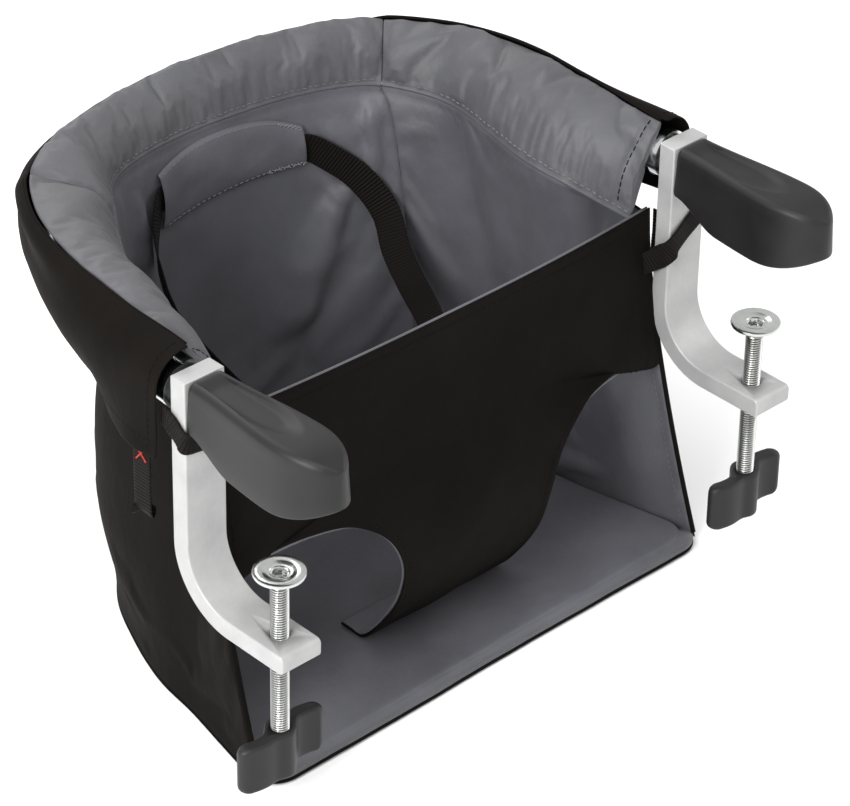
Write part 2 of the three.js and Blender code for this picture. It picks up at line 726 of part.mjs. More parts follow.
function collar(stretch) {
  return loft(rings(stretch, (share) => {
    const reach = stitchReach(share);
    const drop = stitchDrop(share);
    const seam = [-seamIn, seamHeight];
    const lower = [-reach, -drop];
    const length = Math.hypot(reach - seamIn, drop + seamHeight);
    const crown = mix(collarFrontCrown, collarCrown, settled(share));
    const bulge = (t) => (crown * Math.sin(Math.PI * t)) / length;
    const top = range(5, 0, 1).map((t) => [
      mix(seam[0], lower[0], t) - bulge(t) * (drop + seamHeight),
      mix(seam[1], lower[1], t) + bulge(t) * (reach - seamIn),
    ]);
    const clear = tubeRadius + mix(lockStand, 0, settled(share)) + 2 * gap;
    const arc = range(5, 1.13, 0.56).map((a) => [
      clear * Math.cos(a * Math.PI), clear * Math.sin(a * Math.PI),
    ]);
    const under = [collarLip / 2 - reach, -drop - collarLip];
    const hollow = [mix(under[0], arc[0][0], 0.5), mix(under[1], arc[0][1], 0.5) + collarHollow];
    return [...top, under, hollow, ...arc].map(([n, z]) => rimPoint(share, n, z));
  }));
}

function cuff(stretch) {
  const section = [
    ...cuffTopShares.map(([n, z]) => [n * seamHeight, z * seamHeight]),
    [cuffSide, -cuffDrop / 2],
    [cuffSide - clothThickness, -cuffDrop],
  ];
  return cloth(rings(stretch, (share) => (
    section.map(([n, z]) => rimPoint(share, n, z))
  )), 0, clothThickness);
}

// Bag walls

const wallRows = range(8, 0, 1);
const nudge = 0.002;           // share by which the wall's slopes are felt

function wallNormal(share, down) {
  const clamped = (value) => THREE.MathUtils.clamp(value, 0, 1);
  const u = wallPoint(clamped(share + nudge), down);
  const v = wallPoint(share, clamped(down + nudge));
  u.sub(wallPoint(clamped(share - nudge), down));
  v.sub(wallPoint(share, clamped(down - nudge)));
  return v.cross(u).normalize();
}

function wallGrid(stretch, offset, folded) {
  return rings(stretch, (share) => wallRows.map((down) => {
    const depth = folded ? fold(share, down) : 0;
    return wallPoint(share, down).addScaledVector(wallNormal(share, down), offset - depth);
  }));
}

// Soft diagonal folds in the back liner, which die out towards its edges
function fold(share, down) {
  const across = (share - cornerShare) / backShare;
  const fade = smooth(4 * across) * smooth(4 * (1 - across));
  const height = smooth((down - foldTopShare) * 4) * smooth((1 - down) * 4);
  const wave = Math.max(Math.sin(2 * Math.PI * (folds * across + down)), 0);
  return foldDepth * fade * height * wave;
}

const outerWall = (stretch) => (
  between(wallGrid(stretch, linerGap / 2, false), wallGrid(stretch, layer, false))
);
const liner = (stretch, folded) => (
  between(wallGrid(stretch, -layer, folded), wallGrid(stretch, -linerGap / 2, folded))
);

// Base

// The base's outline, moved inwards, with a straight front and round front corners
function baseOutline(sideInset, frontInset) {
  const half = baseHalfWidth * baseShares[0][0] - sideInset;
  const front = -baseFront + frontInset;
  const round = baseCorner - frontInset;
  const corner = range(5, -Math.PI / 2, 0).map((a) => [
    half - round + round * Math.cos(a), front + round + round * Math.sin(a),
  ]);
  const rear = range(26, 0, 1)
    .map((share) => onPlan(baseCurve, share, -sideInset))
    .filter((p) => p.y > front + round + overrun)
    .map((p) => [p.x, p.y]);
  const left = corner.map(([x, y]) => [-x, y]).reverse();
  return [...corner, ...rear, ...left];
}

const seatBottom = -baseDrop + underCloth + gap;
const seatTop = seatBottom + boardThickness + gap + seatPadThickness;
const atHeight = (outline, z) => outline.map(([x, y]) => point(x, y, z));

const plate = (sideInset, frontInset, bottom, thickness) => {
  const outline = baseOutline(sideInset, frontInset);
  return loft([atHeight(outline, bottom), atHeight(outline, bottom + thickness)]);
};

function seatPad() {
  const bottom = seatBottom + boardThickness + gap;
  const steps = [
    [0, 0], [0, seatPadThickness / 2], [seatPadEdge, seatPadThickness],
    [seatPadFlat, seatPadThickness + seatPadCrown],
  ];
  const outline = baseOutline(seatInset, baseInset);
  const middle = point(0, baseDepth / 2 - baseFront, 0);
  return loft(steps.map(([inset, rise]) => outline.map(([x, y]) => {
    const spoke = point(x, y, 0).sub(middle);
    return spoke.setLength(spoke.length() - inset).add(middle).setZ(bottom + rise);
  })));
}

// A strip of cloth up the base's front edge, with a cord sewn into its foot
function frontBinding() {
  const clear = bindingRadius + gap;
  const corner = baseOutline(-layer - clear, baseInset - clear).slice(0, 4);
  const places = [...corner.map(([x, y]) => [-x, y]).reverse(), ...corner];
  const foot = gap + bindingRadius - baseDrop;
  const neck = Math.asin(bindingWall / 2 / bindingRadius);
  const section = [
    ...range(8, Math.PI / 2 + neck, 2.5 * Math.PI - neck).map((a) => [
      bindingRadius * Math.cos(a), bindingRadius * Math.sin(a),
    ]),
    [bindingWall / 2, bindingHeight - bindingRadius],
    [-bindingWall / 2, bindingHeight - bindingRadius],
  ];
  return loft(places.map(([x, y], i) => {
    const [ax, ay] = places[Math.min(i + 1, places.length - 1)];
    const [bx, by] = places[Math.max(i - 1, 0)];
    const out = point(ay - by, bx - ax, 0).normalize();
    return section.map(([n, z]) => point(x, y, foot + z).addScaledVector(out, n));
  }));
}

// Front panel and crotch piece, as one grid for the black cloth and its grey lining

function panelGrid() {
  const across = range(12, -1, 1);
  const rows = panelShares.map(([width, edgeDown, edgeOut, midDown, midOut]) => (
    across.map((x) => {
      const away = Math.abs(x);
      const down = mix(midDown, edgeDown, away ** 1.5);
      const out = mix(midOut, edgeOut, away ** 2);
      return point(
        x * width * panelHalfWidth, panelBack - out * panelBulge, -down * baseDrop,
      );
    })
  ));
  const flat = seatTop + seatPadCrown + layer + gap;
  for (const back of [crotchFlapStart, crotchFlapStart + crotchFlap]) {
    rows.push(across.map((x) => point(x * crotchEndShare * panelHalfWidth, back, flat)));
  }
  return rows;
}

// Belts and buckle

// The belt lies between the back liner and its tunnel, then runs free to the buckle
function belt(side) {
  const depth = -(layer + gap + tunnelSlack + beltThickness / 2);
  const middle = mix(tunnelTopShare, tunnelFootShare, 0.5);
  const half = tunnelHalfWidth / rimCurve.getLength();
  const hidden = range(4, gap / rimCurve.getLength(), half).map((share) => {
    const at = 0.5 - share;
    const inward = onPlan(rimCurve, at, depth).sub(onPlan(rimCurve, at, 0));
    return wallPoint(at, middle).add(inward);
  });
  const free = beltShares.map(([x, y, z]) => (
    point(x * armX, y * tubeDepth, -z * baseDrop)
  ));
  const end = side > 0 ? socketLength + 2 * gap : gripLength + gap;
  const lead = point(end + beltWidth / 2, buckleBack, -buckleDrop);
  const corners = new THREE.CatmullRomCurve3([...free, lead], false, 'centripetal');
  const last = point(end, buckleBack, -buckleDrop);
  const places = [...hidden, ...corners.getSpacedPoints(16), last];
  const mirrored = places.map((p) => point(side * p.x, p.y, p.z));
  return band(mirrored, point(0, 0, 1), beltWidth, beltThickness);
}

function tunnel() {
  const half = tunnelHalfWidth / rimCurve.getLength();
  const grid = range(8, 0.5 - half, 0.5 + half).map((share) => (
    range(3, tunnelTopShare, tunnelFootShare).map((down) => wallPoint(share, down))
  ));
  const inner = layer + 2 * gap + 2 * tunnelSlack + beltThickness;
  return cloth(grid, -inner - clothThickness, -inner);
}

function buckleSocket() {
  const shell = block(
    socketLength, socketThickness, socketHeight, point(gap + socketLength / 2, 0, 0),
  );
  const room = tongueBlade + 2 * gap;
  const mouth = block(
    room + overrun, bladeThickness + 2 * gap, bladeHeight + 2 * gap,
    point(gap - overrun + (room + overrun) / 2, 0, 0),
  );
  return cut(shell, mouth).translate(0, buckleBack, -buckleDrop);
}

function buckleTongue() {
  const grip = block(gripLength, gripThickness, gripHeight, point(-gripLength / 2, 0, 0));
  const blade = block(
    tongueBlade + overrun, bladeThickness, bladeHeight,
    point((tongueBlade - overrun) / 2, 0, 0),
  );
  return join(grip, blade).translate(0, buckleBack, -buckleDrop);
}

const tabFace = cuffSide - clothThickness - gap;   // the tab's outer face

// A pull tab: webbing folded double under the cuff's front corner
function pullTab() {
  const near = tabFace - strapThickness / 2;
  const far = near - tabFold;
  const top = tubeHeight - cuffDrop + strapWidth / 2;
  const foot = tubeHeight - cuffDrop - tabLength + strapWidth / 2;
  const places = [
    [near, top], [near, mix(top, foot, 0.5)], [near, foot + tabFold],
    [mix(near, far, 0.5), foot], [far, foot + tabFold], [far, mix(top, foot, 0.5)],
  ].map(([x, z]) => point(x, tabStart, z));
  return band(places, point(0, 1, 0), tabWidth, strapThickness);
}

// The block of stitches that closes the tab, just under the cuff's edge
function tackStitch() {
  const height = tubeHeight - cuffDrop - tackHeight;
  const place = point(tabFace + gap + tackThickness / 2, tabStart, height);
  return block(tackThickness, tackWidth, tackHeight, place);
}

// The assembly

const chair = new THREE.Group();

function add(parent, name, look, geometry) {
  const [color, roughness, metalness] = looks[look];
  const material = new THREE.MeshStandardMaterial({ color, roughness, metalness });
  const mesh = new THREE.Mesh(geometry, material);
  mesh.name = name;
  parent.add(mesh);
  return mesh;
}

for (const side of [-1, 1]) {
  const name = side < 0 ? 'left' : 'right';
  const clamp = new THREE.Group();
  clamp.position.x = side * armX;
  add(clamp, `${name}_clamp_bar`, 'bar', clampBar());
  add(clamp, `${name}_arm_pad`, 'pad', armPad());
  add(clamp, `${name}_pivot_spigot`, 'tube', spigot());
  add(clamp, `${name}_pivot_bolt`, 'zinc', pivotBolt());
  add(clamp, `${name}_lock_button`, 'plastic', lockButton());
  add(clamp, `${name}_button_spring`, 'zinc', buttonSpring());
  add(clamp, `${name}_pivot_bush`, 'plastic', bush(side));
  add(clamp, `${name}_arm_strap`, 'webbing', armStrap(side));
  const screw = new THREE.Group();
  screw.position.set(0, screwY, headTop);
  add(screw, `${name}_clamp_screw`, 'zinc', clampScrew());
  add(screw, `${name}_wing_knob`, 'knob', wingKnob()).position.z = -knobBelowHead;
  clamp.add(screw);
  chair.add(clamp);
  const tab = add(chair, `${name}_pull_tab`, 'webbing', pullTab());
  const tack = add(chair, `${name}_tab_stitch`, 'thread', tackStitch());
  for (const piece of [tab, tack]) {
    if (side < 0) piece.rotation.z = Math.PI;
    piece.position.set(side * armX, side < 0 ? 2 * tabStart : 0, 0);
  }
}

add(chair, 'frame_tube', 'tube', frameTube());
for (const [name, stretch] of Object.entries(stretches)) {
  add(chair, `${name}_collar`, 'grey', collar(stretch));
  add(chair, `${name}_cuff`, 'black', cuff(stretch));
  add(chair, `${name}_outer_wall`, 'black', outerWall(stretch));
  add(chair, `${name}_liner`, 'grey', liner(stretch, name === 'back'));
}

add(chair, 'base_cover', 'black', plate(-layer, baseInset, -baseDrop, underCloth));
add(chair, 'seat_board', 'board', plate(seatInset, baseInset, seatBottom, boardThickness));
add(chair, 'seat_pad', 'grey', seatPad());
add(chair, 'front_binding', 'black', frontBinding());

const panel = panelGrid();
add(chair, 'front_panel', 'black', cloth(panel, -layer, -linerGap / 2));
add(chair, 'front_lining', 'grey', cloth(panel, linerGap / 2, layer));

add(chair, 'belt_tunnel', 'grey', tunnel());
add(chair, 'left_belt', 'webbing', belt(-1));
add(chair, 'right_belt', 'webbing', belt(1));
add(chair, 'buckle_socket', 'plastic', buckleSocket());
add(chair, 'buckle_tongue', 'plastic', buckleTongue());

// The seat stands on the ground, with the middle of its length over the origin
const extent = new THREE.Box3().setFromObject(chair, true);
const middle = extent.getCenter(point(0, 0, 0));
chair.position.set(-middle.x, -middle.y, -extent.min.z);

export default chair;
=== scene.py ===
"""Looks for a clip-on fabric baby seat: cloth, webbing, bars, pads, screws and knobs."""

import math

import bmesh
import bpy
import numpy as np
from mathutils import Matrix, Vector


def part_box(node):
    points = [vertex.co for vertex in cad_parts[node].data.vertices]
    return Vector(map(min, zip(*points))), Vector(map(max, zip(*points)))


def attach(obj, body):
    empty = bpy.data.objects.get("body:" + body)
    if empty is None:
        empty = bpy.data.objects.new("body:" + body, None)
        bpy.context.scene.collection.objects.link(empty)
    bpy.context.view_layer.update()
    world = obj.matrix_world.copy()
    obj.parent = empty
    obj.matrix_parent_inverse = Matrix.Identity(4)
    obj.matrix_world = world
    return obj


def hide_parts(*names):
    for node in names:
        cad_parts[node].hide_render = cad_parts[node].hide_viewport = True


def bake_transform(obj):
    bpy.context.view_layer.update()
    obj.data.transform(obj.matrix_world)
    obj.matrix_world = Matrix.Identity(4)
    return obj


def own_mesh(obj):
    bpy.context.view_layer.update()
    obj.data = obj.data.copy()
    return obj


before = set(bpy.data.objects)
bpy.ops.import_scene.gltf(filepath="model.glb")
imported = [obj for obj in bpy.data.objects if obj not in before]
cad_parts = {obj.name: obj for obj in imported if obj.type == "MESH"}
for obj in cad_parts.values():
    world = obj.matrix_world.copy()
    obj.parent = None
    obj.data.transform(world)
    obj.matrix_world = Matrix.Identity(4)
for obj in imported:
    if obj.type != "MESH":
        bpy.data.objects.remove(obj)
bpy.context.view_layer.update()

# Shapes are drawn in millimetres about the clamp bars: their backs lie at y = 0 and their
# tops at z = 0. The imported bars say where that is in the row's frame.
MM = 0.001
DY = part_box("left_clamp_bar")[1].y / MM
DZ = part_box("left_clamp_bar")[1].z / MM
SHIFT = np.array([0.0, DY, DZ])
SIDES = (("left", -1), ("right", 1))

# Sizes repeated from the part's source
ARM_X, TUBE_Z, TUBE_R, TUBE_WALL, TUBE_START = 175.0, -13.5, 13.5, 1.6, 4.0
BAR_W, BAR_T, BAR_DROP, BAR_REACH, BAR_BEND = 26.5, 11.2, 140.0, 83.5, 30.0
SCREW_Y, HEAD_TOP, KNOB_TOP, KNOB_H = -66.5, -89.0, -187.5, 28.5
BASE_DROP, CLOTH = 247.0, 1.4
LOCK_BACK = 13.5

# The plan's driving sizes: the rim's depth, and the base's half width, front edge, depth and corner
RIM_DEPTH = 220.0
BASE_HALF, BASE_FRONT, BASE_DEPTH, BASE_CORNER = 166.0, -47.0, 239.0, 20
FRONT_HALF = BASE_HALF * .985             # half the length of the base's front edge
BASE_MIDDLE = np.array([0.0, 72.5])
EDGE_OUT, EDGE_BACK = 1.7, 4.2            # the base cloth's edge: out at the sides, back in front
PIPING_OUT = 2.05                         # the piping's middle, out from that edge


# Plain maths

def smooth(t):
    t = np.clip(t, 0.0, 1.0)
    return t * t * (3 - 2 * t)


def mix(a, b, t):
    return a + (b - a) * t


def unit(v):
    v = np.asarray(v, float)
    return v / np.maximum(np.linalg.norm(v, axis=-1, keepdims=True), 1e-9)


def waves(p, seed, scale, octaves=2):
    """Smooth noise from sums of sine waves, for places p in mm."""
    r = np.random.default_rng(seed)
    out = np.zeros(np.shape(p)[:-1])
    for k in range(octaves):
        for _ in range(5):
            d = r.normal(size=3)
            d /= np.linalg.norm(d)
            out += np.sin((p @ d) * (2 ** k) * 2 * math.pi / scale + r.uniform(0, 6.28)) / (2 ** k)
    return out / 5


def spline(points, count):
    """Centripetal Catmull-Rom through points, at count places evenly spaced by length."""
    p = np.asarray(points, float)
    p = np.vstack([2 * p[0] - p[1], p, 2 * p[-1] - p[-2]])
    dense = []
    for i in range(1, len(p) - 2):
        p0, p1, p2, p3 = p[i - 1:i + 3]
        t = np.cumsum([0] + [max(np.linalg.norm(b - a), 1e-6) ** 0.5
                             for a, b in ((p0, p1), (p1, p2), (p2, p3))])
        x = np.linspace(t[1], t[2], 60, endpoint=i == len(p) - 3)[:, None]
        a1 = (t[1] - x) / (t[1] - t[0]) * p0 + (x - t[0]) / (t[1] - t[0]) * p1
        a2 = (t[2] - x) / (t[2] - t[1]) * p1 + (x - t[1]) / (t[2] - t[1]) * p2
        a3 = (t[3] - x) / (t[3] - t[2]) * p2 + (x - t[2]) / (t[3] - t[2]) * p3
        b1 = (t[2] - x) / (t[2] - t[0]) * a1 + (x - t[0]) / (t[2] - t[0]) * a2
        b2 = (t[3] - x) / (t[3] - t[1]) * a2 + (x - t[1]) / (t[3] - t[1]) * a3
        dense.append((t[2] - x) / (t[2] - t[1]) * b1 + (x - t[1]) / (t[2] - t[1]) * b2)
    return resample(np.vstack(dense), count)


def resample(path, count):
    path = np.asarray(path, float)
    s = np.concatenate([[0], np.cumsum(np.linalg.norm(np.diff(path, axis=0), axis=1))])
    at = np.linspace(0, s[-1], count)
    return np.stack([np.interp(at, s, path[:, k]) for k in range(path.shape[1])], 1)


# Plan of rim and base

RIM = [[1, 0], [.986, .14], [.971, .277], [.954, .423], [.926, .54], [.88, .65], [.823, .736],
       [.749, .818], [.646, .886], [.514, .936], [.343, .973], [.171, .991], [0, 1]]
BASE = [[1, .03], [.978, .1], [.948, .2], [.912, .32], [.88, .46], [.8, .62], [.69, .77],
        [.48, .915], [.24, .982], [0, 1]]


class Plan:
    """A plan curve from the right front round the back to the left front."""

    def __init__(self, shares, half, front, depth, z):
        right = [(x * half, front + y * depth, z) for x, y in shares]
        left = [(-x, y, z) for x, y, _ in right[:-1]][::-1]
        self.p = spline(right + left, 4001)
        self.length = float(np.linalg.norm(np.diff(self.p, axis=0), axis=1).sum())
        g = np.gradient(self.p, axis=0)
        self.out = unit(np.stack([g[:, 1], -g[:, 0], 0 * g[:, 0]], 1))
        self.s = np.linspace(0, 1, len(self.p))

    def at(self, share, outward=0.0):
        share = np.asarray(share, float)
        p = np.stack([np.interp(share, self.s, self.p[:, k]) for k in range(3)], -1)
        o = np.stack([np.interp(share, self.s, self.out[:, k]) for k in range(3)], -1)
        return p + unit(o) * np.asarray(outward, float)[..., None]


rim_plan = Plan(RIM, ARM_X, TUBE_START, RIM_DEPTH, TUBE_Z)
base_plan = Plan(BASE, BASE_HALF, BASE_FRONT, BASE_DEPTH, 0.0)
START = TUBE_START / rim_plan.length      # the share of the rim where the cloth begins
CORNER = 0.29                             # the share where the right stretch meets the back one


def settled(s):
    return smooth((1 - np.abs(2 * s - 1)) / 0.3)


def rim(s, n, z):
    s, n, z = np.broadcast_arrays(np.asarray(s, float), n, z)
    p = rim_plan.at(mix(START, 1 - START, s), n)
    p[..., 2] += z
    return p


# Along the rim from a front end to the middle of the back, in thousandths of its length:
# how far in and how far down the padded collar is sewn, how much it swells between, and
# how high the rim's seam stands. The cloth has slipped further in on the left.
SEWN_ROWS = {
    "right": [(0, 27, 31, 6, 21), (48, 41, 17, 10, 22.8), (92, 44.5, 11.5, 13, 24.6),
              (145, 39, 8, 12.5, 28.3), (212, 27, 4.5, 9.5, 29.5), (290, 22, 2, 6.5, 28.2),
              (380, 21, 2, 6.5, 27.2), (500, 21, 2, 6.5, 27.2)],
    "left": [(0, 27, 31, 6, 21), (48, 37, 18.5, 9, 22.6), (92, 40.5, 12.5, 11, 24.8),
             (145, 44, 9, 12.5, 25.5), (200, 46.5, 7.5, 12.5, 25.8), (260, 47, 6, 12, 25.3),
             (330, 42, 4.5, 10, 25), (385, 25, 3.5, 8, 25.8), (440, 21, 2, 6.5, 26.8),
             (500, 21, 2, 6.5, 27.2)],
}
SEWN = {side: spline(rows, 400) for side, rows in SEWN_ROWS.items()}


def along_sewn(s, column):
    s = np.asarray(s, float)
    share = 1000 * (0.5 - np.abs(s - 0.5))
    right, left = (np.interp(share, SEWN[side][:, 0], SEWN[side][:, column]) for side in ("right", "left"))
    return np.where(s > 0.5, left, right)


def hidden(s):
    """Where the collar hides the cuff and its seam: over the far left of the rim."""
    s = np.asarray(s, float)
    return smooth((s - 0.285) / 0.03) * smooth((0.725 - s) / 0.03)


def crest(s):
    return along_sewn(s, 4) + 1.7 * hidden(s)


def lean(s):
    """How far in from the rim's seam the tube stands at the left rear corner."""
    s = np.asarray(s, float)
    return 12.8 * smooth((s - 0.61) / 0.13) * smooth((0.93 - s) / 0.17)


def stitch_reach(s):
    return along_sewn(s, 1)


def stitch_drop(s):
    return along_sewn(s, 2)


def wall_reach(s):
    """The walls' front ends stand further out than the collar's stitches."""
    return mix(14.5, stitch_reach(s), smooth((0.5 - np.abs(s - 0.5)) / 0.06))


def risen(s):
    """0 at the rim's hemmed front ends, where the padding is thin, and 1 along the rest."""
    return smooth((0.5 - np.abs(s - 0.5)) * rim_plan.length / 62)


def wall(s, down):
    """The middle of the bag's wall: down is 0 at its top edge and 1 at its foot."""
    s, down = np.broadcast_arrays(np.asarray(s, float), np.asarray(down, float))
    top = rim(s, 1.7 - wall_reach(s), -stitch_drop(s) - 5)
    foot = base_plan.at(s)
    t = np.clip(down, 0, 1) ** mix(1.4, 0.5, settled(s))
    x = mix(top[..., 0], foot[..., 0], t)
    y = mix(top[..., 1], foot[..., 1], t)
    z = mix(top[..., 2], -245.05, down)
    return np.stack([x, y, z], -1)


def grid_normals(p):
    u = np.gradient(p, axis=0)
    v = np.gradient(p, axis=1)
    return unit(np.cross(v, u))


# Meshes

def add_object(name, verts, faces, uv=None, sharp=None):
    """A mesh object from places in mm, with one uv pair in mm for each face corner."""
    me = bpy.data.meshes.new(name)
    me.from_pydata(((np.asarray(verts, float) + SHIFT) * MM).tolist(), [], faces)
    if uv is not None:
        layer = me.uv_layers.new(name="UVMap")
        layer.data.foreach_set("uv", (np.asarray(uv, float) * MM * 10).ravel())
    me.update()
    me.shade_smooth()
    if sharp is not None:
        me.set_sharp_from_angle(angle=math.radians(sharp))
    ob = bpy.data.objects.new(name, me)
    bpy.context.scene.collection.objects.link(ob)
    return ob


def outward(ob):
    """Turns a closed mesh's faces outwards."""
    bm = bmesh.new()
    bm.from_mesh(ob.data)
    bmesh.ops.recalc_face_normals(bm, faces=bm.faces)
    bm.to_mesh(ob.data)
    bm.free()
    return ob


def grid_faces(nu, nv, wrap=False):
    """Quads of a grid, and for each corner its row and column without wrapping."""
    cols = nv if wrap else nv - 1
    i, j = np.meshgrid(np.arange(nu - 1), np.arange(cols), indexing="ij")
    i, j = i.ravel(), j.ravel()
    k = (j + 1) % nv
    faces = np.stack([i * nv + j, i * nv + k, (i + 1) * nv + k, (i + 1) * nv + j], 1)
    corner = np.stack([np.stack([i, j], 1), np.stack([i, j + 1], 1),
                       np.stack([i + 1, j + 1], 1), np.stack([i + 1, j], 1)], 1)
    return faces, corner


def lengths(p, axis):
    """Average running length along an axis of a grid of places."""
    d = np.linalg.norm(np.diff(p, axis=axis), axis=-1).mean(axis=1 - axis)
    return np.concatenate([[0], np.cumsum(d)])


def tube_mesh(name, rings, caps=True, sharp=35, turn_uv=False):
    """A closed body through closed rings of equal count."""
    rings = np.asarray(rings, float)
    nu, nv = rings.shape[:2]
    faces, corner = grid_faces(nu, nv, True)
    u = lengths(rings, 0)
    closed = np.concatenate([rings, rings[:, :1]], 1)
    v = lengths(closed, 1)
    uv = np.stack([v[corner[..., 1]], u[corner[..., 0]]], -1)
    if turn_uv:
        uv = uv[..., ::-1]
    faces = faces.tolist()
    uv = uv.reshape(-1, 2).tolist()
    if caps:
        for start in (0, (nu - 1) * nv):
            order = list(range(start, start + nv))
            if start:
                order = order[::-1]
            faces.append(order)
            uv += [[rings.reshape(-1, 3)[k][0], rings.reshape(-1, 3)[k][2]] for k in order]
    return outward(add_object(name, rings.reshape(-1, 3), faces, uv, sharp))


def cloth_mesh(name, p, low, high):
    """A sheet with thickness and round edges from a grid of places, between two offsets."""
    n = grid_normals(p)
    nu, nv = p.shape[:2]
    mid, half = (low + high) / 2, (high - low) / 2
    top = p + n * high
    bottom = p + n * low
    faces_t, corner = grid_faces(nu, nv)
    u, v = lengths(p, 0), lengths(p, 1)
    uv = np.stack([v[corner[..., 1]], u[corner[..., 0]]], -1)
    faces_b = (faces_t + nu * nv)[:, ::-1]
    uv_b = uv[:, ::-1]
    border = ([(i, 0) for i in range(nu)] + [(nu - 1, j) for j in range(1, nv)]
              + [(i, nv - 1) for i in range(nu - 2, -1, -1)] + [(0, j) for j in range(nv - 2, 0, -1)])
    b = np.array(border)
    edge = p[b[:, 0], b[:, 1]] + n[b[:, 0], b[:, 1]] * mid
    inside = p[np.clip(b[:, 0], 1, nu - 2), np.clip(b[:, 1], 1, nv - 2)]
    edge = edge + unit(p[b[:, 0], b[:, 1]] - inside) * half * 0.8
    verts = np.concatenate([top.reshape(-1, 3), bottom.reshape(-1, 3), edge])
    m = len(b)
    k = np.arange(m)
    k1 = (k + 1) % m
    ids = b[:, 0] * nv + b[:, 1]
    e = 2 * nu * nv + k
    e1 = 2 * nu * nv + k1
    side_t = np.stack([ids[k], ids[k1], e1, e], 1)
    side_b = np.stack([e, e1, ids[k1] + nu * nv, ids[k] + nu * nv], 1)
    place = np.stack([v[b[:, 1]], u[b[:, 0]]], -1)
    uv_s = np.stack([place[k], place[k1], place[k1] + 0.3, place[k] + 0.3], 1)
    faces = np.concatenate([faces_t, faces_b, side_t, side_b]).tolist()
    uvs = np.concatenate([uv, uv_b, uv_s, uv_s]).reshape(-1, 2)
    return outward(add_object(name, verts, faces, uvs))


def lathe(name, profile, centre, sides=48):
    """A turned body from (radius, height) pairs about an upright axis."""
    prof = np.asarray(profile, float)
    a = np.arange(sides) * 2 * math.pi / sides
    r, h = prof[:, :1], prof[:, 1:]
    ring = np.stack([r * np.cos(a), r * np.sin(a), h + 0 * a], -1)
    return tube_mesh(name, ring + np.asarray(centre, float), True, 30)


def sweep(path, section, across):
    """Rings of a section along a path. Section pairs run across and out of the band."""
    path, section = np.asarray(path, float), np.asarray(section, float)
    t = unit(np.gradient(path, axis=0))
    across = np.broadcast_to(np.asarray(across, float), path.shape)
    side = unit(across - t * (across * t).sum(-1, keepdims=True))
    out = np.cross(t, side)
    return path[:, None] + side[:, None] * section[None, :, :1] + out[:, None] * section[None, :, 1:]


def round_section(wide, tall, count):
    """An ellipse's half width and half height as a closed section."""
    a = np.arange(count) * math.pi / (count / 2)
    return np.stack([wide * np.cos(a), tall * np.sin(a)], 1)


def band_section(width, thick, columns):
    """A flat band's section with round edges."""
    half, r = width / 2, thick / 2
    xs = np.linspace(-half + r, half - r, columns)
    turn = np.linspace(math.pi / 2, -math.pi / 2, 5)[1:-1]
    top = [(x, r) for x in xs] + [(half - r + r * math.cos(a), r * math.sin(a)) for a in turn]
    return np.array(top + [(-x, -y) for x, y in top])


def cut_with(ob, tools):
    """Cuts closed meshes out of a closed mesh and keeps the result."""
    for tool in tools:
        m = ob.modifiers.new("cut", "BOOLEAN")
        m.operation, m.solver, m.object = "DIFFERENCE", "EXACT", tool
    bake(ob)
    for tool in tools:
        bpy.data.objects.remove(tool, do_unlink=True)
    return ob


def bake(ob):
    """Applies an object's modifiers."""
    bpy.context.view_layer.update()
    dg = bpy.context.evaluated_depsgraph_get()
    me = bpy.data.meshes.new_from_object(ob.evaluated_get(dg))
    old = ob.data
    ob.modifiers.clear()
    ob.data = me
    me.name = ob.name
    if old.users == 0:
        bpy.data.meshes.remove(old)
    return ob


def subdivide(ob):
    m = ob.modifiers.new("smooth", "SUBSURF")
    m.levels = m.render_levels = 1


def stitches(name, path, normal, length=2.6, space=1.1, width=0.42, height=0.26):
    """Sewn stitches in a row along a path, lying on a surface with the given normals."""
    path = np.asarray(path, float)
    seg = np.linalg.norm(np.diff(path, axis=0), axis=1)
    s = np.concatenate([[0], np.cumsum(seg)])
    count = max(int(s[-1] / (length + space)), 1)
    at = (np.arange(count) + 0.5) * s[-1] / count
    c = np.stack([np.interp(at, s, path[:, k]) for k in range(3)], 1)
    d = unit(np.stack([np.interp(at + 0.6, s, path[:, k]) - np.interp(at - 0.6, s, path[:, k])
                       for k in range(3)], 1))
    normal = np.broadcast_to(np.asarray(normal, float), path.shape)
    n = unit(np.stack([np.interp(at, s, normal[:, k]) for k in range(3)], 1))
    n = unit(n - d * (n * d).sum(-1, keepdims=True))
    side = np.cross(d, n)
    stations = [(-0.5, 0.3), (-0.36, 0.85), (0, 1.0), (0.36, 0.85), (0.5, 0.3)]
    verts, faces = [], []
    a = np.arange(6) * math.pi / 3
    for t, w in stations:
        ring = (c + d * t * length)[:, None] + side[:, None] * (np.cos(a) * w * width / 2)[None, :, None] \
            + n[:, None] * ((np.sin(a) * w + 0.35) * height)[None, :, None]
        verts.append(ring)
    v = np.stack(verts, 1).reshape(-1, 3)
    quad, _ = grid_faces(len(stations), 6, True)
    per = len(stations) * 6
    for k in range(count):
        faces += (quad + k * per).tolist()
        faces.append([k * per + x for x in range(6)][::-1])
        faces.append([k * per + per - 6 + x for x in range(6)])
    return add_object(name, v, faces)


def sew(name, path, normal, thread, cloth, *sizes):
    """A row of stitches with its looks, as part of the seat."""
    dress(stitches(name, path, normal, *sizes), thread, "seat", ())


# Cloth simulation

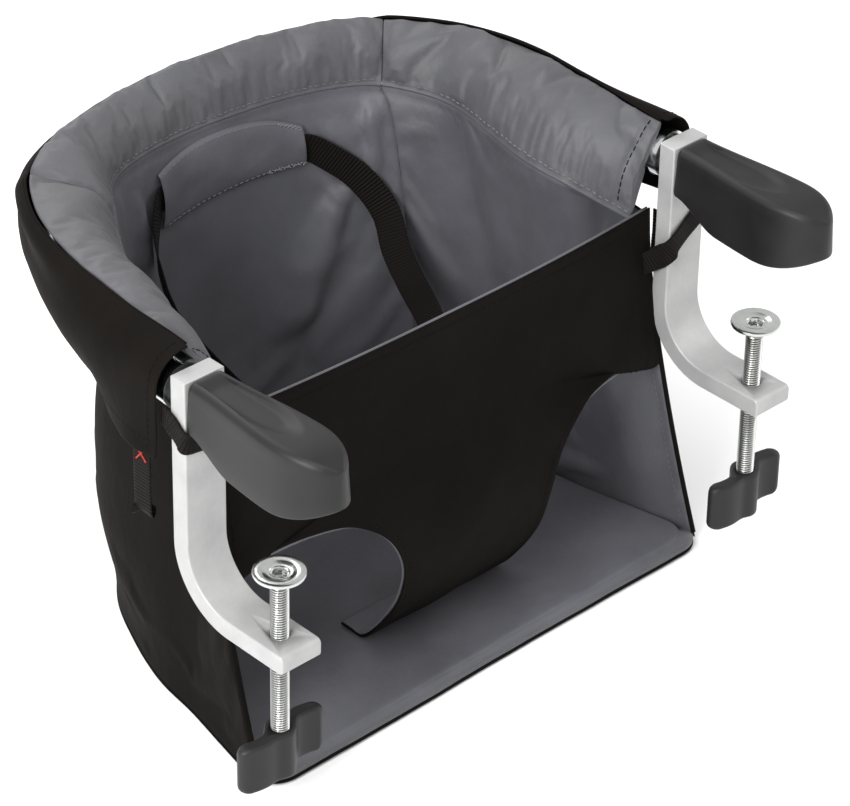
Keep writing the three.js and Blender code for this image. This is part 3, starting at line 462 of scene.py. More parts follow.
def simulate(p, pinned, grow, push, cap, frames=20, stiff=12, bend=0.6):
    """Lets a grid of cloth that is cut a little large settle into folds between its seams.
    Places in mm. The cloth may leave its drawn place by cap."""
    nu, nv = p.shape[:2]
    n = grid_normals(p)
    seed = waves(p, int(nu * 31 + nv), 34, 2)[..., None]
    start = p + np.where(pinned, 0, 1)[..., None] * n * seed * 0.8
    faces, _ = grid_faces(nu, nv)
    ob = add_object("settling", start.reshape(-1, 3), faces.tolist())
    group = ob.vertex_groups.new(name="pin")
    group.add(np.flatnonzero(pinned.ravel()).tolist(), 1.0, "REPLACE")
    mod = ob.modifiers.new("cloth", "CLOTH")
    c = mod.settings
    c.quality = 6
    c.mass = 0.25
    c.tension_stiffness = stiff
    c.compression_stiffness = stiff
    c.shear_stiffness = stiff * 0.6
    c.bending_stiffness = bend
    c.tension_damping = c.compression_damping = 8
    c.air_damping = 2
    c.vertex_group_mass = "pin"
    c.pin_stiffness = 40
    c.shrink_min = c.shrink_max = -grow
    c.effector_weights.gravity = 1.0
    mod.collision_settings.use_collision = False
    scene = bpy.context.scene
    held = tuple(scene.gravity)
    scene.gravity = push
    mod.point_cache.frame_start, mod.point_cache.frame_end = 1, frames
    for f in range(1, frames + 1):
        scene.frame_set(f)
    dg = bpy.context.evaluated_depsgraph_get()
    me = ob.evaluated_get(dg).to_mesh()
    co = np.zeros(nu * nv * 3, np.float32)
    me.vertices.foreach_get("co", co)
    ob.evaluated_get(dg).to_mesh_clear()
    bpy.data.objects.remove(ob, do_unlink=True)
    scene.gravity = held
    scene.frame_set(1)
    q = co.reshape(nu, nv, 3).astype(float) / MM - SHIFT
    move = q - p
    size = np.linalg.norm(move, axis=-1, keepdims=True)
    move = move * np.minimum(1, cap * np.tanh(size / cap) / np.maximum(size, 1e-6))
    move[pinned] = 0
    return p + move


# Materials

BAND_MM = 31.416     # a wave texture's band on a piece's map, in mm, at a scale of 1
WEAVE_MM = 0.55      # from one thread of the cloth to the next


class Mat:
    """A small helper that lays nodes and links them."""

    def __init__(self, name):
        self.m = bpy.data.materials.new(name)
        self.m.use_nodes = True
        self.t = self.m.node_tree
        self.b = self.t.nodes["Principled BSDF"]
        self.count = 0

    def node(self, kind, **values):
        n = self.t.nodes.new(kind)
        self.count += 1
        n.location = (-200 * (1 + self.count // 4), 300 - 220 * (self.count % 4))
        for k, v in values.items():
            setattr(n, k, v)
        return n

    def link(self, a, b):
        self.t.links.new(a, b)

    def coords(self, kind="Object", scale=(1, 1, 1)):
        c = self.node("ShaderNodeTexCoord")
        m = self.node("ShaderNodeMapping")
        m.inputs["Scale"].default_value = scale
        self.link(c.outputs[kind], m.inputs["Vector"])
        return m.outputs["Vector"]

    def noise(self, vector, scale, detail=3.0, rough=0.55):
        n = self.node("ShaderNodeTexNoise")
        n.inputs["Scale"].default_value = scale
        n.inputs["Detail"].default_value = detail
        n.inputs["Roughness"].default_value = rough
        self.link(vector, n.inputs["Vector"])
        return n.outputs["Fac"]

    def wave(self, vector, scale, direction="X", distort=0.0):
        n = self.node("ShaderNodeTexWave", wave_type="BANDS", bands_direction=direction)
        n.inputs["Scale"].default_value = scale
        n.inputs["Distortion"].default_value = distort
        n.inputs["Detail"].default_value = 1.0
        self.link(vector, n.inputs["Vector"])
        return n.outputs["Fac"]

    def maths(self, op, a, b):
        n = self.node("ShaderNodeMath", operation=op)
        for k, x in enumerate((a, b)):
            if isinstance(x, (int, float)):
                n.inputs[k].default_value = x
            else:
                self.link(x, n.inputs[k])
        return n.outputs[0]

    def ramp(self, fac, stops):
        n = self.node("ShaderNodeValToRGB")
        e = n.color_ramp.elements
        while len(e) < len(stops):
            e.new(0.5)
        for el, (pos, col) in zip(e, stops):
            el.position = pos
            el.color = (*col, 1) if len(col) == 3 else col
        self.link(fac, n.inputs["Fac"])
        return n.outputs["Color"]

    def mixed(self, fac, a, b):
        n = self.node("ShaderNodeMix", data_type="RGBA", blend_type="MIX")
        for key, x in ((0, fac), (6, a), (7, b)):
            if isinstance(x, (int, float)):
                n.inputs[key].default_value = x
            elif isinstance(x, tuple):
                n.inputs[key].default_value = (*x, 1)
            else:
                self.link(x, n.inputs[key])
        return n.outputs[2]

    def bump(self, height, strength, distance, below=None):
        n = self.node("ShaderNodeBump")
        n.inputs["Strength"].default_value = strength
        n.inputs["Distance"].default_value = distance
        self.link(height, n.inputs["Height"])
        if below is not None:
            self.link(below, n.inputs["Normal"])
        return n.outputs["Normal"]

    def out(self, color=None, rough=None, normal=None, **fixed):
        for key, x in (("Base Color", color), ("Roughness", rough), ("Normal", normal)):
            if x is None:
                continue
            if isinstance(x, (int, float)):
                self.b.inputs[key].default_value = x
            else:
                self.link(x, self.b.inputs[key])
        names = {"metal": "Metallic", "sheen": "Sheen Weight", "sheen_rough": "Sheen Roughness",
                 "spec": "Specular IOR Level"}
        for k, v in fixed.items():
            self.b.inputs[names[k]].default_value = v
        return self.m


def cloth_material(name, dark, light, warm, rough, sheen, crumple=0.5, spec=0.4):
    """Plain-woven polyester: a fine weave, soft creases and slow drifts of tone."""
    m = Mat(name)
    at = m.coords("Object")
    drift = m.noise(at, 22, 4, 0.6)
    speck = m.noise(at, 900, 2, 0.6)
    tone = m.ramp(drift, [(0.3, dark), (0.52, mix3(dark, light, 0.5)), (0.72, light)])
    flecked = m.mixed(m.maths("MULTIPLY", speck, 0.35), tone, warm)
    uv = m.coords("UV", (1, 1, 1))
    bands = BAND_MM / WEAVE_MM
    warp = m.wave(uv, bands, "X", 0.3)
    weft = m.wave(uv, bands, "Y", 0.3)
    threads = m.maths("MAXIMUM", warp, weft)
    creases = m.noise(m.coords("Object", (1, 1, 0.7)), 60, 5, 0.6)
    n1 = m.bump(creases, 0.35 * crumple, 0.004)
    n2 = m.bump(threads, 0.22, 0.0002, n1)
    shade = m.mixed(m.maths("MULTIPLY", threads, 0.14), flecked, tuple(x * 0.5 for x in dark))
    gloss = m.maths("ADD", m.maths("MULTIPLY", drift, 0.12), rough - 0.06)
    return m.out(shade, gloss, n2, sheen=sheen, sheen_rough=0.45, spec=spec)


def mix3(a, b, t):
    return tuple(mix(x, y, t) for x, y in zip(a, b))


def webbing_material(name, dark, light):
    """Ribbed webbing: ribs across its length and fine threads along it."""
    m = Mat(name)
    uv = m.coords("UV")
    ribs = m.wave(uv, BAND_MM / 2.0, "Y", 0.15)
    threads = m.wave(uv, BAND_MM / 0.6, "X", 0.4)
    fuzz = m.noise(m.coords("Object"), 1500, 2, 0.7)
    tone = m.mixed(ribs, dark, light)
    tone = m.mixed(m.maths("MULTIPLY", fuzz, 0.4), tone, tuple(x * 0.55 for x in dark))
    n1 = m.bump(ribs, 0.6, 0.0005)
    n2 = m.bump(threads, 0.35, 0.0002, n1)
    rough = m.maths("ADD", m.maths("MULTIPLY", fuzz, 0.2), 0.62)
    return m.out(tone, rough, n2, sheen=0.02, sheen_rough=0.4, spec=0.12)


def metal_material(name, dark, light, rough, scale=(1, 1, 1), fine=700, metal=1.0, bump=0.1,
                   wear_and_edge_highlight=None):
    """Metal with faint grain, slow drifts of tone and small handling marks."""
    m = Mat(name)
    at = m.coords("Object", scale)
    grain = m.noise(at, fine, 3, 0.6)
    drift = m.noise(m.coords("Object"), 38, 3, 0.55)
    tone = m.ramp(drift, [(0.3, dark), (0.7, light)])
    tone = m.mixed(m.maths("MULTIPLY", grain, 0.3), tone, tuple(x * 0.82 for x in dark))
    if wear_and_edge_highlight is not None:
        marks = m.ramp(m.noise(m.coords("Object"), 120, 5, 0.7), [(0.6, (0, 0, 0)), (0.72, (1, 1, 1))])
        tone = m.mixed(m.maths("MULTIPLY", marks, 0.4), tone, wear_and_edge_highlight)
    gloss = m.maths("ADD", m.maths("MULTIPLY", grain, 0.12), rough - 0.06)
    return m.out(tone, gloss, m.bump(grain, bump, 0.0003), metal=metal)


def plastic_material(name, dark, light, rough, grain=1400, bump=0.15, spec=0.45, edge=None):
    """Moulded plastic or rubber with a spark-eroded grain, and a painted highlight: a lighter edge colour
    mixed in where the mesh is pointy.
    """
    m = Mat(name)
    at = m.coords("Object")
    fine = m.noise(at, grain, 2, 0.6)
    drift = m.noise(at, 45, 3, 0.5)
    tone = m.ramp(drift, [(0.32, dark), (0.7, light)])
    if edge is not None:
        # painted highlight on sharp edges: the lighter edge colour, laid on by the mesh's pointiness
        g = m.node("ShaderNodeNewGeometry")
        wear_and_edge_highlight = m.ramp(g.outputs["Pointiness"], [(0.5, (0, 0, 0)), (0.58, (1, 1, 1))])
        tone = m.mixed(m.maths("MULTIPLY", wear_and_edge_highlight, 0.5), tone, edge)
    gloss = m.maths("ADD", m.maths("MULTIPLY", drift, 0.12), rough - 0.06)
    return m.out(tone, gloss, m.bump(fine, bump, 0.0002), spec=spec)


GREY = cloth_material("grey_cloth_looks", (0.058, 0.058, 0.068), (0.095, 0.096, 0.110),
                      (0.118, 0.118, 0.129), 0.48, 0.08, crumple=0.6, spec=0.4)
PADGREY = cloth_material("grey_padded_looks", (0.056, 0.056, 0.063), (0.085, 0.086, 0.094),
                         (0.106, 0.106, 0.113), 0.48, 0.08, crumple=0.7, spec=0.4)
BLACK = cloth_material("black_cloth_looks", (0.0030, 0.0024, 0.0020), (0.0062, 0.0050, 0.0041),
                       (0.010, 0.0076, 0.0060), 0.72, 0.004, crumple=0.6, spec=0.05)
WEB = webbing_material("webbing_looks", (0.0022, 0.0016, 0.0014), (0.0085, 0.0056, 0.0046))
BAR = metal_material("bar_looks", (0.36, 0.36, 0.36), (0.47, 0.47, 0.465), 0.54,
                     (1, 1, 0.35), 620, 0.3, 0.12, (0.36, 0.36, 0.36))
ZINC = metal_material("zinc_looks", (0.50, 0.51, 0.50), (0.70, 0.71, 0.69), 0.2, (1, 1, 1), 900,
                      1.0, 0.05, (0.62, 0.58, 0.46))
TUBE = metal_material("tube_looks", (0.62, 0.63, 0.64), (0.78, 0.79, 0.80), 0.17, (1, 0.2, 1), 900,
                      1.0, 0.05)
SPRING = metal_material("spring_looks", (0.45, 0.45, 0.46), (0.6, 0.6, 0.62), 0.3)
# the last colour of the pads and knobs is a painted highlight for their edges
PAD = plastic_material("arm_pad_looks", (0.0085, 0.0083, 0.0088), (0.0120, 0.0118, 0.0123), 0.46, 1300,
                       0.10, 0.3, (0.03, 0.03, 0.032))
KNOB = plastic_material("knob_looks", (0.0085, 0.0083, 0.0090), (0.0125, 0.0123, 0.0132), 0.46, 1500,
                        0.14, 0.3, (0.03, 0.03, 0.032))
PLASTIC = plastic_material("plastic_looks", (0.008, 0.008, 0.008), (0.014, 0.014, 0.014), 0.42,
                           1500, 0.1, 0.4)
THREAD_RED = webbing_material("red_thread_looks", (0.33, 0.03, 0.022), (0.5, 0.06, 0.045))
THREAD_BLACK = webbing_material("black_thread_looks", (0.003, 0.003, 0.003), (0.008, 0.007, 0.007))
THREAD_GREY = webbing_material("grey_thread_looks", (0.16, 0.16, 0.17), (0.26, 0.26, 0.275))
THREAD_WHITE = webbing_material("white_thread_looks", (0.2, 0.2, 0.21), (0.34, 0.34, 0.35))


def thread_painted_shade_material(name, x):
    """Zinc with painted shade in its thread's grooves, told apart by how far they are from the screw's
    axis.
    """
    m = Mat(name)
    parts = m.node("ShaderNodeSeparateXYZ")
    m.link(m.coords("Object"), parts.inputs[0])
    away_x = m.maths("SUBTRACT", parts.outputs[0], float(x * MM))
    away_y = m.maths("SUBTRACT", parts.outputs[1], float((SCREW_Y + SHIFT[1]) * MM))
    squares = m.maths("ADD", m.maths("MULTIPLY", away_x, away_x), m.maths("MULTIPLY", away_y, away_y))
    from_axis = m.maths("MULTIPLY", m.maths("SQRT", squares, 0.0), 100.0)
    # painted shade: dark at the thread's roots, the zinc's own tone at its crests
    tone = m.ramp(from_axis, [(0.42, (0.1, 0.1, 0.095)), (0.455, (0.3, 0.3, 0.29)),
                              (0.49, (0.66, 0.67, 0.65))])
    return m.out(tone, 0.32, None, metal=1.0)


def board_material():
    """Hardboard: short pressed fibres in warm brown."""
    m = Mat("board_looks")
    at = m.coords("Object", (1, 3, 1))
    fibre = m.noise(at, 260, 5, 0.7)
    tone = m.ramp(fibre, [(0.3, (0.16, 0.11, 0.07)), (0.55, (0.25, 0.18, 0.12)), (0.8, (0.33, 0.25, 0.17))])
    return m.out(tone, 0.78, m.bump(fibre, 0.3, 0.0004))


BOARD = board_material()


def dress(ob, material, body, nodes=()):
    """Gives a piece its material, the body that it rides on and the nodes it stands for."""
    ob.data.materials.clear()
    ob.data.materials.append(material)
    if body:
        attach(ob, body)
    if nodes:
        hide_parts(*nodes)
    return ob


for node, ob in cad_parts.items():
    look = (TUBE if "spigot" in node else ZINC if "bolt" in node else SPRING if "spring" in node
            else BOARD if node == "seat_board" else PLASTIC)
    for slot in ob.material_slots:
        slot.material = look


# Clamp bars

def arc(cx, cz, r, a0, a1, count):
    a = np.linspace(math.radians(a0), math.radians(a1), count)
    return [(cx + r * math.cos(t), cz + r * math.sin(t)) for t in a]


def clamp_bar(name, x):
    """A flat bar bent to a C, its side drawn as pairs of y and z, with its arrises rounded."""
    t, bend_z = BAR_T, -(BAR_DROP - BAR_T - BAR_BEND)
    bend_y, foot_top, tip, r = -(BAR_T + BAR_BEND), -(BAR_DROP - BAR_T), -BAR_REACH + 3, 3
    line = [(0, 0), (-t, 0)]
    line += [(-t, z) for z in (-30, -60)]
    line += arc(bend_y, bend_z, BAR_BEND, 0, -90, 26)
    line += arc(tip, foot_top - r, r, 90, 180, 8) + arc(tip, r - BAR_DROP, r, 180, 270, 8)
    line += arc(bend_y, bend_z, BAR_BEND + t, -90, 0, 30) + [(0, -60), (0, -30)]
    line = np.array(line)
    ahead, behind = np.roll(line, -1, 0), np.roll(line, 1, 0)
    g1, g2 = unit(line - behind), unit(ahead - line)
    n1, n2 = np.stack([g1[:, 1], -g1[:, 0]], 1), np.stack([g2[:, 1], -g2[:, 0]], 1)
    n = unit(n1 + n2)
    n = n / np.maximum((n * n1).sum(1, keepdims=True), 0.5)
    n = n * np.sign(((line - line.mean(0)) * n).sum(1).mean())
    edge = 1.0
    half = [(-BAR_W / 2, edge)]
    for a in np.linspace(0.35, math.pi / 2, 4):
        half.append((-BAR_W / 2 + edge * (1 - math.cos(a)), edge * (1 - math.sin(a))))
    body = []
    for w, i in half + [(0, 0)] + [(-w, i) for w, i in half[::-1]]:
        q = line - n * i
        body.append(np.stack([np.full(len(q), x + w), q[:, 0], q[:, 1]], 1))
    ob = tube_mesh(name, body, True, 32)
    hole = lathe(name + "_hole", [(0, -14), (5.6, -14), (5.6, 14), (0.01, 14)],
                 (x, SCREW_Y, -BAR_DROP + 5.6), sides=48)
    return cut_with(ob, [hole])


def arm_pad(name, x):
    """A moulded pad: drafted sides, rounded shoulders and a shallow tapering dish on top."""
    rear, length = -(BAR_T + 0.35), 101.5
    head = 0.69
    ts = np.concatenate([[0, 0.004, 0.012], np.linspace(0.03, head, 40),
                         head + (1 - head) * np.sin(np.linspace(0, math.pi / 2, 26)[1:] * 0.985)])
    rings = []
    for t in ts:
        tip = max(t - head, 0) / (1 - head)
        rounding = math.sqrt(max(1 - tip * tip, 0.0004))
        half = mix(26.5, 36.4, float(smooth(t / head))) / 2 * rounding
        rear_round = max(0.012 - t, 0) / 0.012
        half -= 0.8 * rear_round
        foot = -mix(29, 40, float(smooth(t * length / 34))) + 12 * max((t - 0.6) / 0.4, 0) ** 2
        top = -6 * tip ** 3.2 - 0.8 * rear_round
        foot += 0.8 * rear_round
        shoulder = min(4.2, half / 2)
        corner = min(2.0, half / 4)
        draft = min(1.6, half / 4)
        rear_fade = float(smooth(t / 0.12))
        wide = 9.8
        past = max(t - 0.40, 0) / 0.26
        q = []
        q.append((0.0, foot))
        q.append((half * 0.5, foot))
        for a in np.linspace(-90, 0, 6):
            q.append((half - corner + corner * math.cos(math.radians(a)),
                      foot + corner + corner * math.sin(math.radians(a))))
        low, high = foot + corner, top - shoulder
        for k in (0.25, 0.5, 0.75, 0.86, 0.93):
            swell = 0.5 * math.exp(-((k - 0.93) / 0.05) ** 2)
            q.append((half - draft * k + swell * 0.3, mix(low, high, k)))
        for a in np.linspace(0, 90, 9):
            q.append((half - draft - shoulder + shoulder * math.cos(math.radians(a)),
                      top - shoulder + shoulder * math.sin(math.radians(a))))
        flat = half - draft - shoulder
        for k in np.linspace(1, 0, 17)[1:]:
            px = flat * k
            from_middle = math.hypot(px / wide, past)
            s = float(smooth((1.2 - from_middle) / 0.62)) * rear_fade
            q.append((px, top - 2.0 * s))
        q = np.array(q)
        mirror = np.stack([-q[1:-1, 0], q[1:-1, 1]], 1)[::-1]
        outline = np.concatenate([q, mirror])
        rings.append(np.stack([x + outline[:, 0], np.full(len(outline), rear - t * length),
                               outline[:, 1]], 1))
    return tube_mesh(name, rings, True, 50)


def clamp_screw(name, x):
    """A right-hand M10 thread under a wide flat head with a six-sided socket."""
    pitch, major, minor = 1.5, 5.0, 4.08
    top, bottom = HEAD_TOP - 7.6, HEAD_TOP - 98.5 - 13.2
    rows, sides = int((top - bottom) / pitch * 8), 32
    z = np.linspace(bottom, top, rows)
    a = np.arange(sides) * 2 * math.pi / sides
    phase = (z[:, None] / pitch - a[None] / (2 * math.pi)) % 1.0
    tooth = np.clip(np.abs(phase - 0.5) * 2, 0.1, 0.86)
    r = minor + (major - minor) * (tooth - 0.1) / 0.76
    fade = smooth((top - z) / 3)[:, None]
    r = mix(4.55, r, fade)
    r = np.minimum(r, 4.2 + (z[:, None] - bottom) * 0.9)
    rings = np.stack([r * np.cos(a), r * np.sin(a), np.broadcast_to(z[:, None], r.shape)], -1)
    rings += np.array([x, SCREW_Y, 0])
    h = HEAD_TOP
    head = [(4.6, top), (4.6, h - 6.3), (5.2, h - 5.7)]
    head += [(mix(5.2, 13.2, t), h - mix(5.7, 2.35, t)) for t in (0.4, 0.8, 1)]
    head += [(13.7, h - 2.1), (13.9, h - 1.7), (13.9, h - 0.7), (13.7, h - 0.25), (13.2, h)]
    head += [(9.2, h - 0.05), (8.7, h - 0.25), (6.9, h - 0.95), (6.5, h - 1.05), (5.4, h - 1.05),
             (5.0, h - 1.35)]
    sides_h = 60
    b = np.arange(sides_h) * 2 * math.pi / sides_h
    stack = [np.stack([p * np.cos(b), p * np.sin(b), 0 * b + q], 1) for p, q in head]
    flat = 3.95 / np.cos((b + math.pi / 6) % (math.pi / 3) - math.pi / 6)
    for scale, dz in ((1.06, 1.45), (1.0, 1.75), (1.0, 4.6)):
        stack.append(np.stack([flat * scale * np.cos(b), flat * scale * np.sin(b), 0 * b + h - dz], 1))
    stack.append(np.stack([0.4 * np.cos(b), 0.4 * np.sin(b), 0 * b + h - 5.8], 1))
    stack = np.array(stack) + np.array([x, SCREW_Y, 0])
    return tube_mesh(name, rings, True, 28), tube_mesh(name + "_head", stack, True, 28)


def wing_knob(name, x):
    """A moulded plate that waves to either side of the hub in its middle."""
    half, wall_t, wave, hub, corner, k = 29.5, 8.2, 3.6, 8.7, 4.2, 2.4
    heights = [0, 0.12, 0.45, 0.95, 1.6] + list(np.linspace(2.4, 26.1, 18))
    heights += [26.9, 27.55, 28.05, 28.38, KNOB_H]
    edge = 1.6
    rings = []
    for h in heights:
        d = min(h, KNOB_H - h)
        inset = edge - math.sqrt(max(edge ** 2 - max(edge - d, 0) ** 2, 0))
        cut = corner - math.sqrt(max(corner ** 2 - max(corner - d, 0) ** 2, 0))
        reach = half - wall_t / 2 - cut
        share = np.linspace(-1, 1, 61)
        xs = (np.sin(share * math.pi / 2) * 0.35 + share * 0.65) * reach
        bend = wave * np.sin(math.pi * xs / half)
        round_hub = hub - 0.8 * xs ** 2 / hub
        behind = np.log(np.exp(round_hub / k) + np.exp((bend + wall_t / 2) / k)) * k
        ahead = np.log(np.exp(round_hub / k) + np.exp((wall_t / 2 - bend) / k)) * k
        up = np.stack([xs, behind - inset], 1)
        down = np.stack([xs, inset - ahead], 1)
        r = wall_t / 2 - inset
        a = np.linspace(math.pi / 2, -math.pi / 2, 9)[1:-1]
        cap = np.stack([xs[-1] + r * np.cos(a), bend[-1] + r * np.sin(a)], 1)
        cap0 = np.stack([xs[0] - r * np.cos(a), bend[0] - r * np.sin(a)], 1)
        loop = np.concatenate([up, cap, down[::-1], cap0])
        level = np.full(len(loop), KNOB_TOP - KNOB_H + h)
        rings.append(np.stack([x + loop[:, 0], SCREW_Y + loop[:, 1], level], 1))
    ob = tube_mesh(name, rings, True, 40)
    hole = [(0.01, -14), (5.35, -14), (5.35, 2), (0.01, 2)]
    seat = lathe(name + "_seat", hole, (x, SCREW_Y, KNOB_TOP), sides=40)
    return cut_with(ob, [seat])


for side_name, side in SIDES:
    X = side * ARM_X
    dress(clamp_bar(f"{side_name}_bar", X), BAR, f"{side_name}_clamp", [f"{side_name}_clamp_bar"])
    dress(arm_pad(f"{side_name}_pad", X), PAD, f"{side_name}_clamp", [f"{side_name}_arm_pad"])
    shank, head = clamp_screw(f"{side_name}_screw_thread", X)
    dress(shank, thread_painted_shade_material(f"{side_name}_thread_looks", X), f"{side_name}_screw",
          [f"{side_name}_clamp_screw"])
    dress(head, ZINC, f"{side_name}_screw", [f"{side_name}_clamp_screw"])
    dress(wing_knob(f"{side_name}_knob_wings", X), KNOB, f"{side_name}_knob",
          [f"{side_name}_wing_knob"])


# Tube, bushes and lock buttons

def slotted(name, rings, thick, hole):
    """A bent sleeve with the lock slot left out of its wall, then thickened inwards."""
    nu, nv = rings.shape[:2]
    faces, corner = grid_faces(nu, nv, True)
    middle = rings.reshape(-1, 3)[faces].mean(1)
    keep = ~hole(middle)
    u = lengths(rings, 0)
    v = lengths(np.concatenate([rings, rings[:, :1]], 1), 1)
    uv = np.stack([v[corner[..., 1]], u[corner[..., 0]]], -1)[keep]
    ob = add_object(name, rings.reshape(-1, 3), faces[keep].tolist(), uv.reshape(-1, 2))
    bm = bmesh.new()
    bm.from_mesh(ob.data)
    bmesh.ops.delete(bm, geom=[w for w in bm.verts if not w.link_faces], context="VERTS")
    bmesh.ops.recalc_face_normals(bm, faces=bm.faces)
    bm.to_mesh(ob.data)
    bm.free()
    m = ob.modifiers.new("wall", "SOLIDIFY")
    m.thickness, m.offset = thick * MM, -1
    bake(ob)
    outward(ob)
    ob.data.shade_smooth()
    ob.data.set_sharp_from_angle(angle=math.radians(40))
    return ob


def slot_hole(side, x):
    """Tells the places that lie in the lock slot, below the tube and up its inner side."""
    def inside(p):
        across, up = p[:, 0] - x, p[:, 2] - TUBE_Z
        a = np.degrees(np.arctan2(up, -across * side))
        near = np.abs(p[:, 1] - LOCK_BACK) < 4.6
        return near & (a < 14) & (a > -105)
    return inside


def sleeve(y0, y1, r, x, count):
    """Rings of a straight tube from y0 to y1."""
    y = np.linspace(y0, y1, count)
    a = np.arange(64) * math.pi / 32
    return np.stack([np.broadcast_to(x + r * np.cos(a), (count, 64)),
                     np.broadcast_to(y[:, None], (count, 64)),
                     np.broadcast_to(TUBE_Z + r * np.sin(a), (count, 64))], -1)


def frame_tube():
    """The rim's tube, bent to the plan, with a slot near each end for the lock button."""
    near = np.linspace(0, 30 / rim_plan.length, 34)
    share = np.concatenate([near, np.linspace(near[-1], 1 - near[-1], 150)[1:-1], 1 - near[::-1]])
    p = rim_plan.at(share, -lean(share))
    o = unit(rim_plan.at(share, 1.0) - rim_plan.at(share))
    a = np.arange(64) * math.pi / 32
    rings = p[:, None] + o[:, None] * (TUBE_R * np.cos(a))[None, :, None] \
        + np.array([0, 0, 1.0]) * (TUBE_R * np.sin(a))[None, :, None]
    right, left = slot_hole(1, ARM_X), slot_hole(-1, -ARM_X)

    def slots(q):
        return right(q) & (q[:, 0] > 0) | left(q) & (q[:, 0] < 0)

    return slotted("bent_tube", rings, TUBE_WALL, slots)


dress(frame_tube(), TUBE, "seat", ["frame_tube"])
for side_name, side in SIDES:
    X = side * ARM_X
    ring = sleeve(0.35, 30.35, 11.4, X, 36)
    dress(slotted(f"{side_name}_bush_sleeve", ring, 1.5, slot_hole(side, X)), PLASTIC, "seat",
          [f"{side_name}_pivot_bush"])
    low = TUBE_Z - TUBE_R - 2.2
    shape = [(0.9, low + 0.75), (1.35, low + 0.7), (1.6, low + 0.1), (2.9, low), (3.6, low + 0.25),
             (4.1, low + 0.8), (4.2, low + 1.6), (4.2, TUBE_Z - 5), (4.9, TUBE_Z - 5),
             (4.9, TUBE_Z - 3.9), (0.4, TUBE_Z - 3.9)]
    dress(lathe(f"{side_name}_button", shape, (X, LOCK_BACK, 0), sides=40), PLASTIC, f"{side_name}_button",
          [f"{side_name}_lock_button"])
    pin = [(0.05, low + 0.35), (0.8, low + 0.3), (1.15, low + 0.55), (1.15, low + 1.4), (0.3, low + 1.4)]
    dress(lathe(f"{side_name}_button_pin", pin, (X, LOCK_BACK, 0), sides=24), ZINC, f"{side_name}_button",
          [f"{side_name}_lock_button"])
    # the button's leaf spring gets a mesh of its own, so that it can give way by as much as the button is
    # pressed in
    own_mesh(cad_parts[f"{side_name}_button_spring"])


# Padded collar

STRETCHES = {"right": (0.0, CORNER), "back": (CORNER, 1 - CORNER), "left": (1 - CORNER, 1.0)}
HEM = 8.0       # how far behind a collar's front end its hem is sewn


def collar_top(s, t):
    """The collar's upper face: t is 0 at the rim's seam and 1 at its stitched edge."""
    s, t = np.broadcast_arrays(s, t)
    reach, drop = stitch_reach(s), stitch_drop(s)
    seam_n, seam_z = mix(-4.0, 0.5, risen(s)), crest(s)
    wide, tall = reach + seam_n, drop + seam_z
    bulge = along_sewn(s, 3) * np.sin(math.pi * t ** 1.2) / np.hypot(wide, tall)
    return mix(seam_n, -reach, t) - bulge * tall, mix(seam_z, -drop, t) + bulge * wide


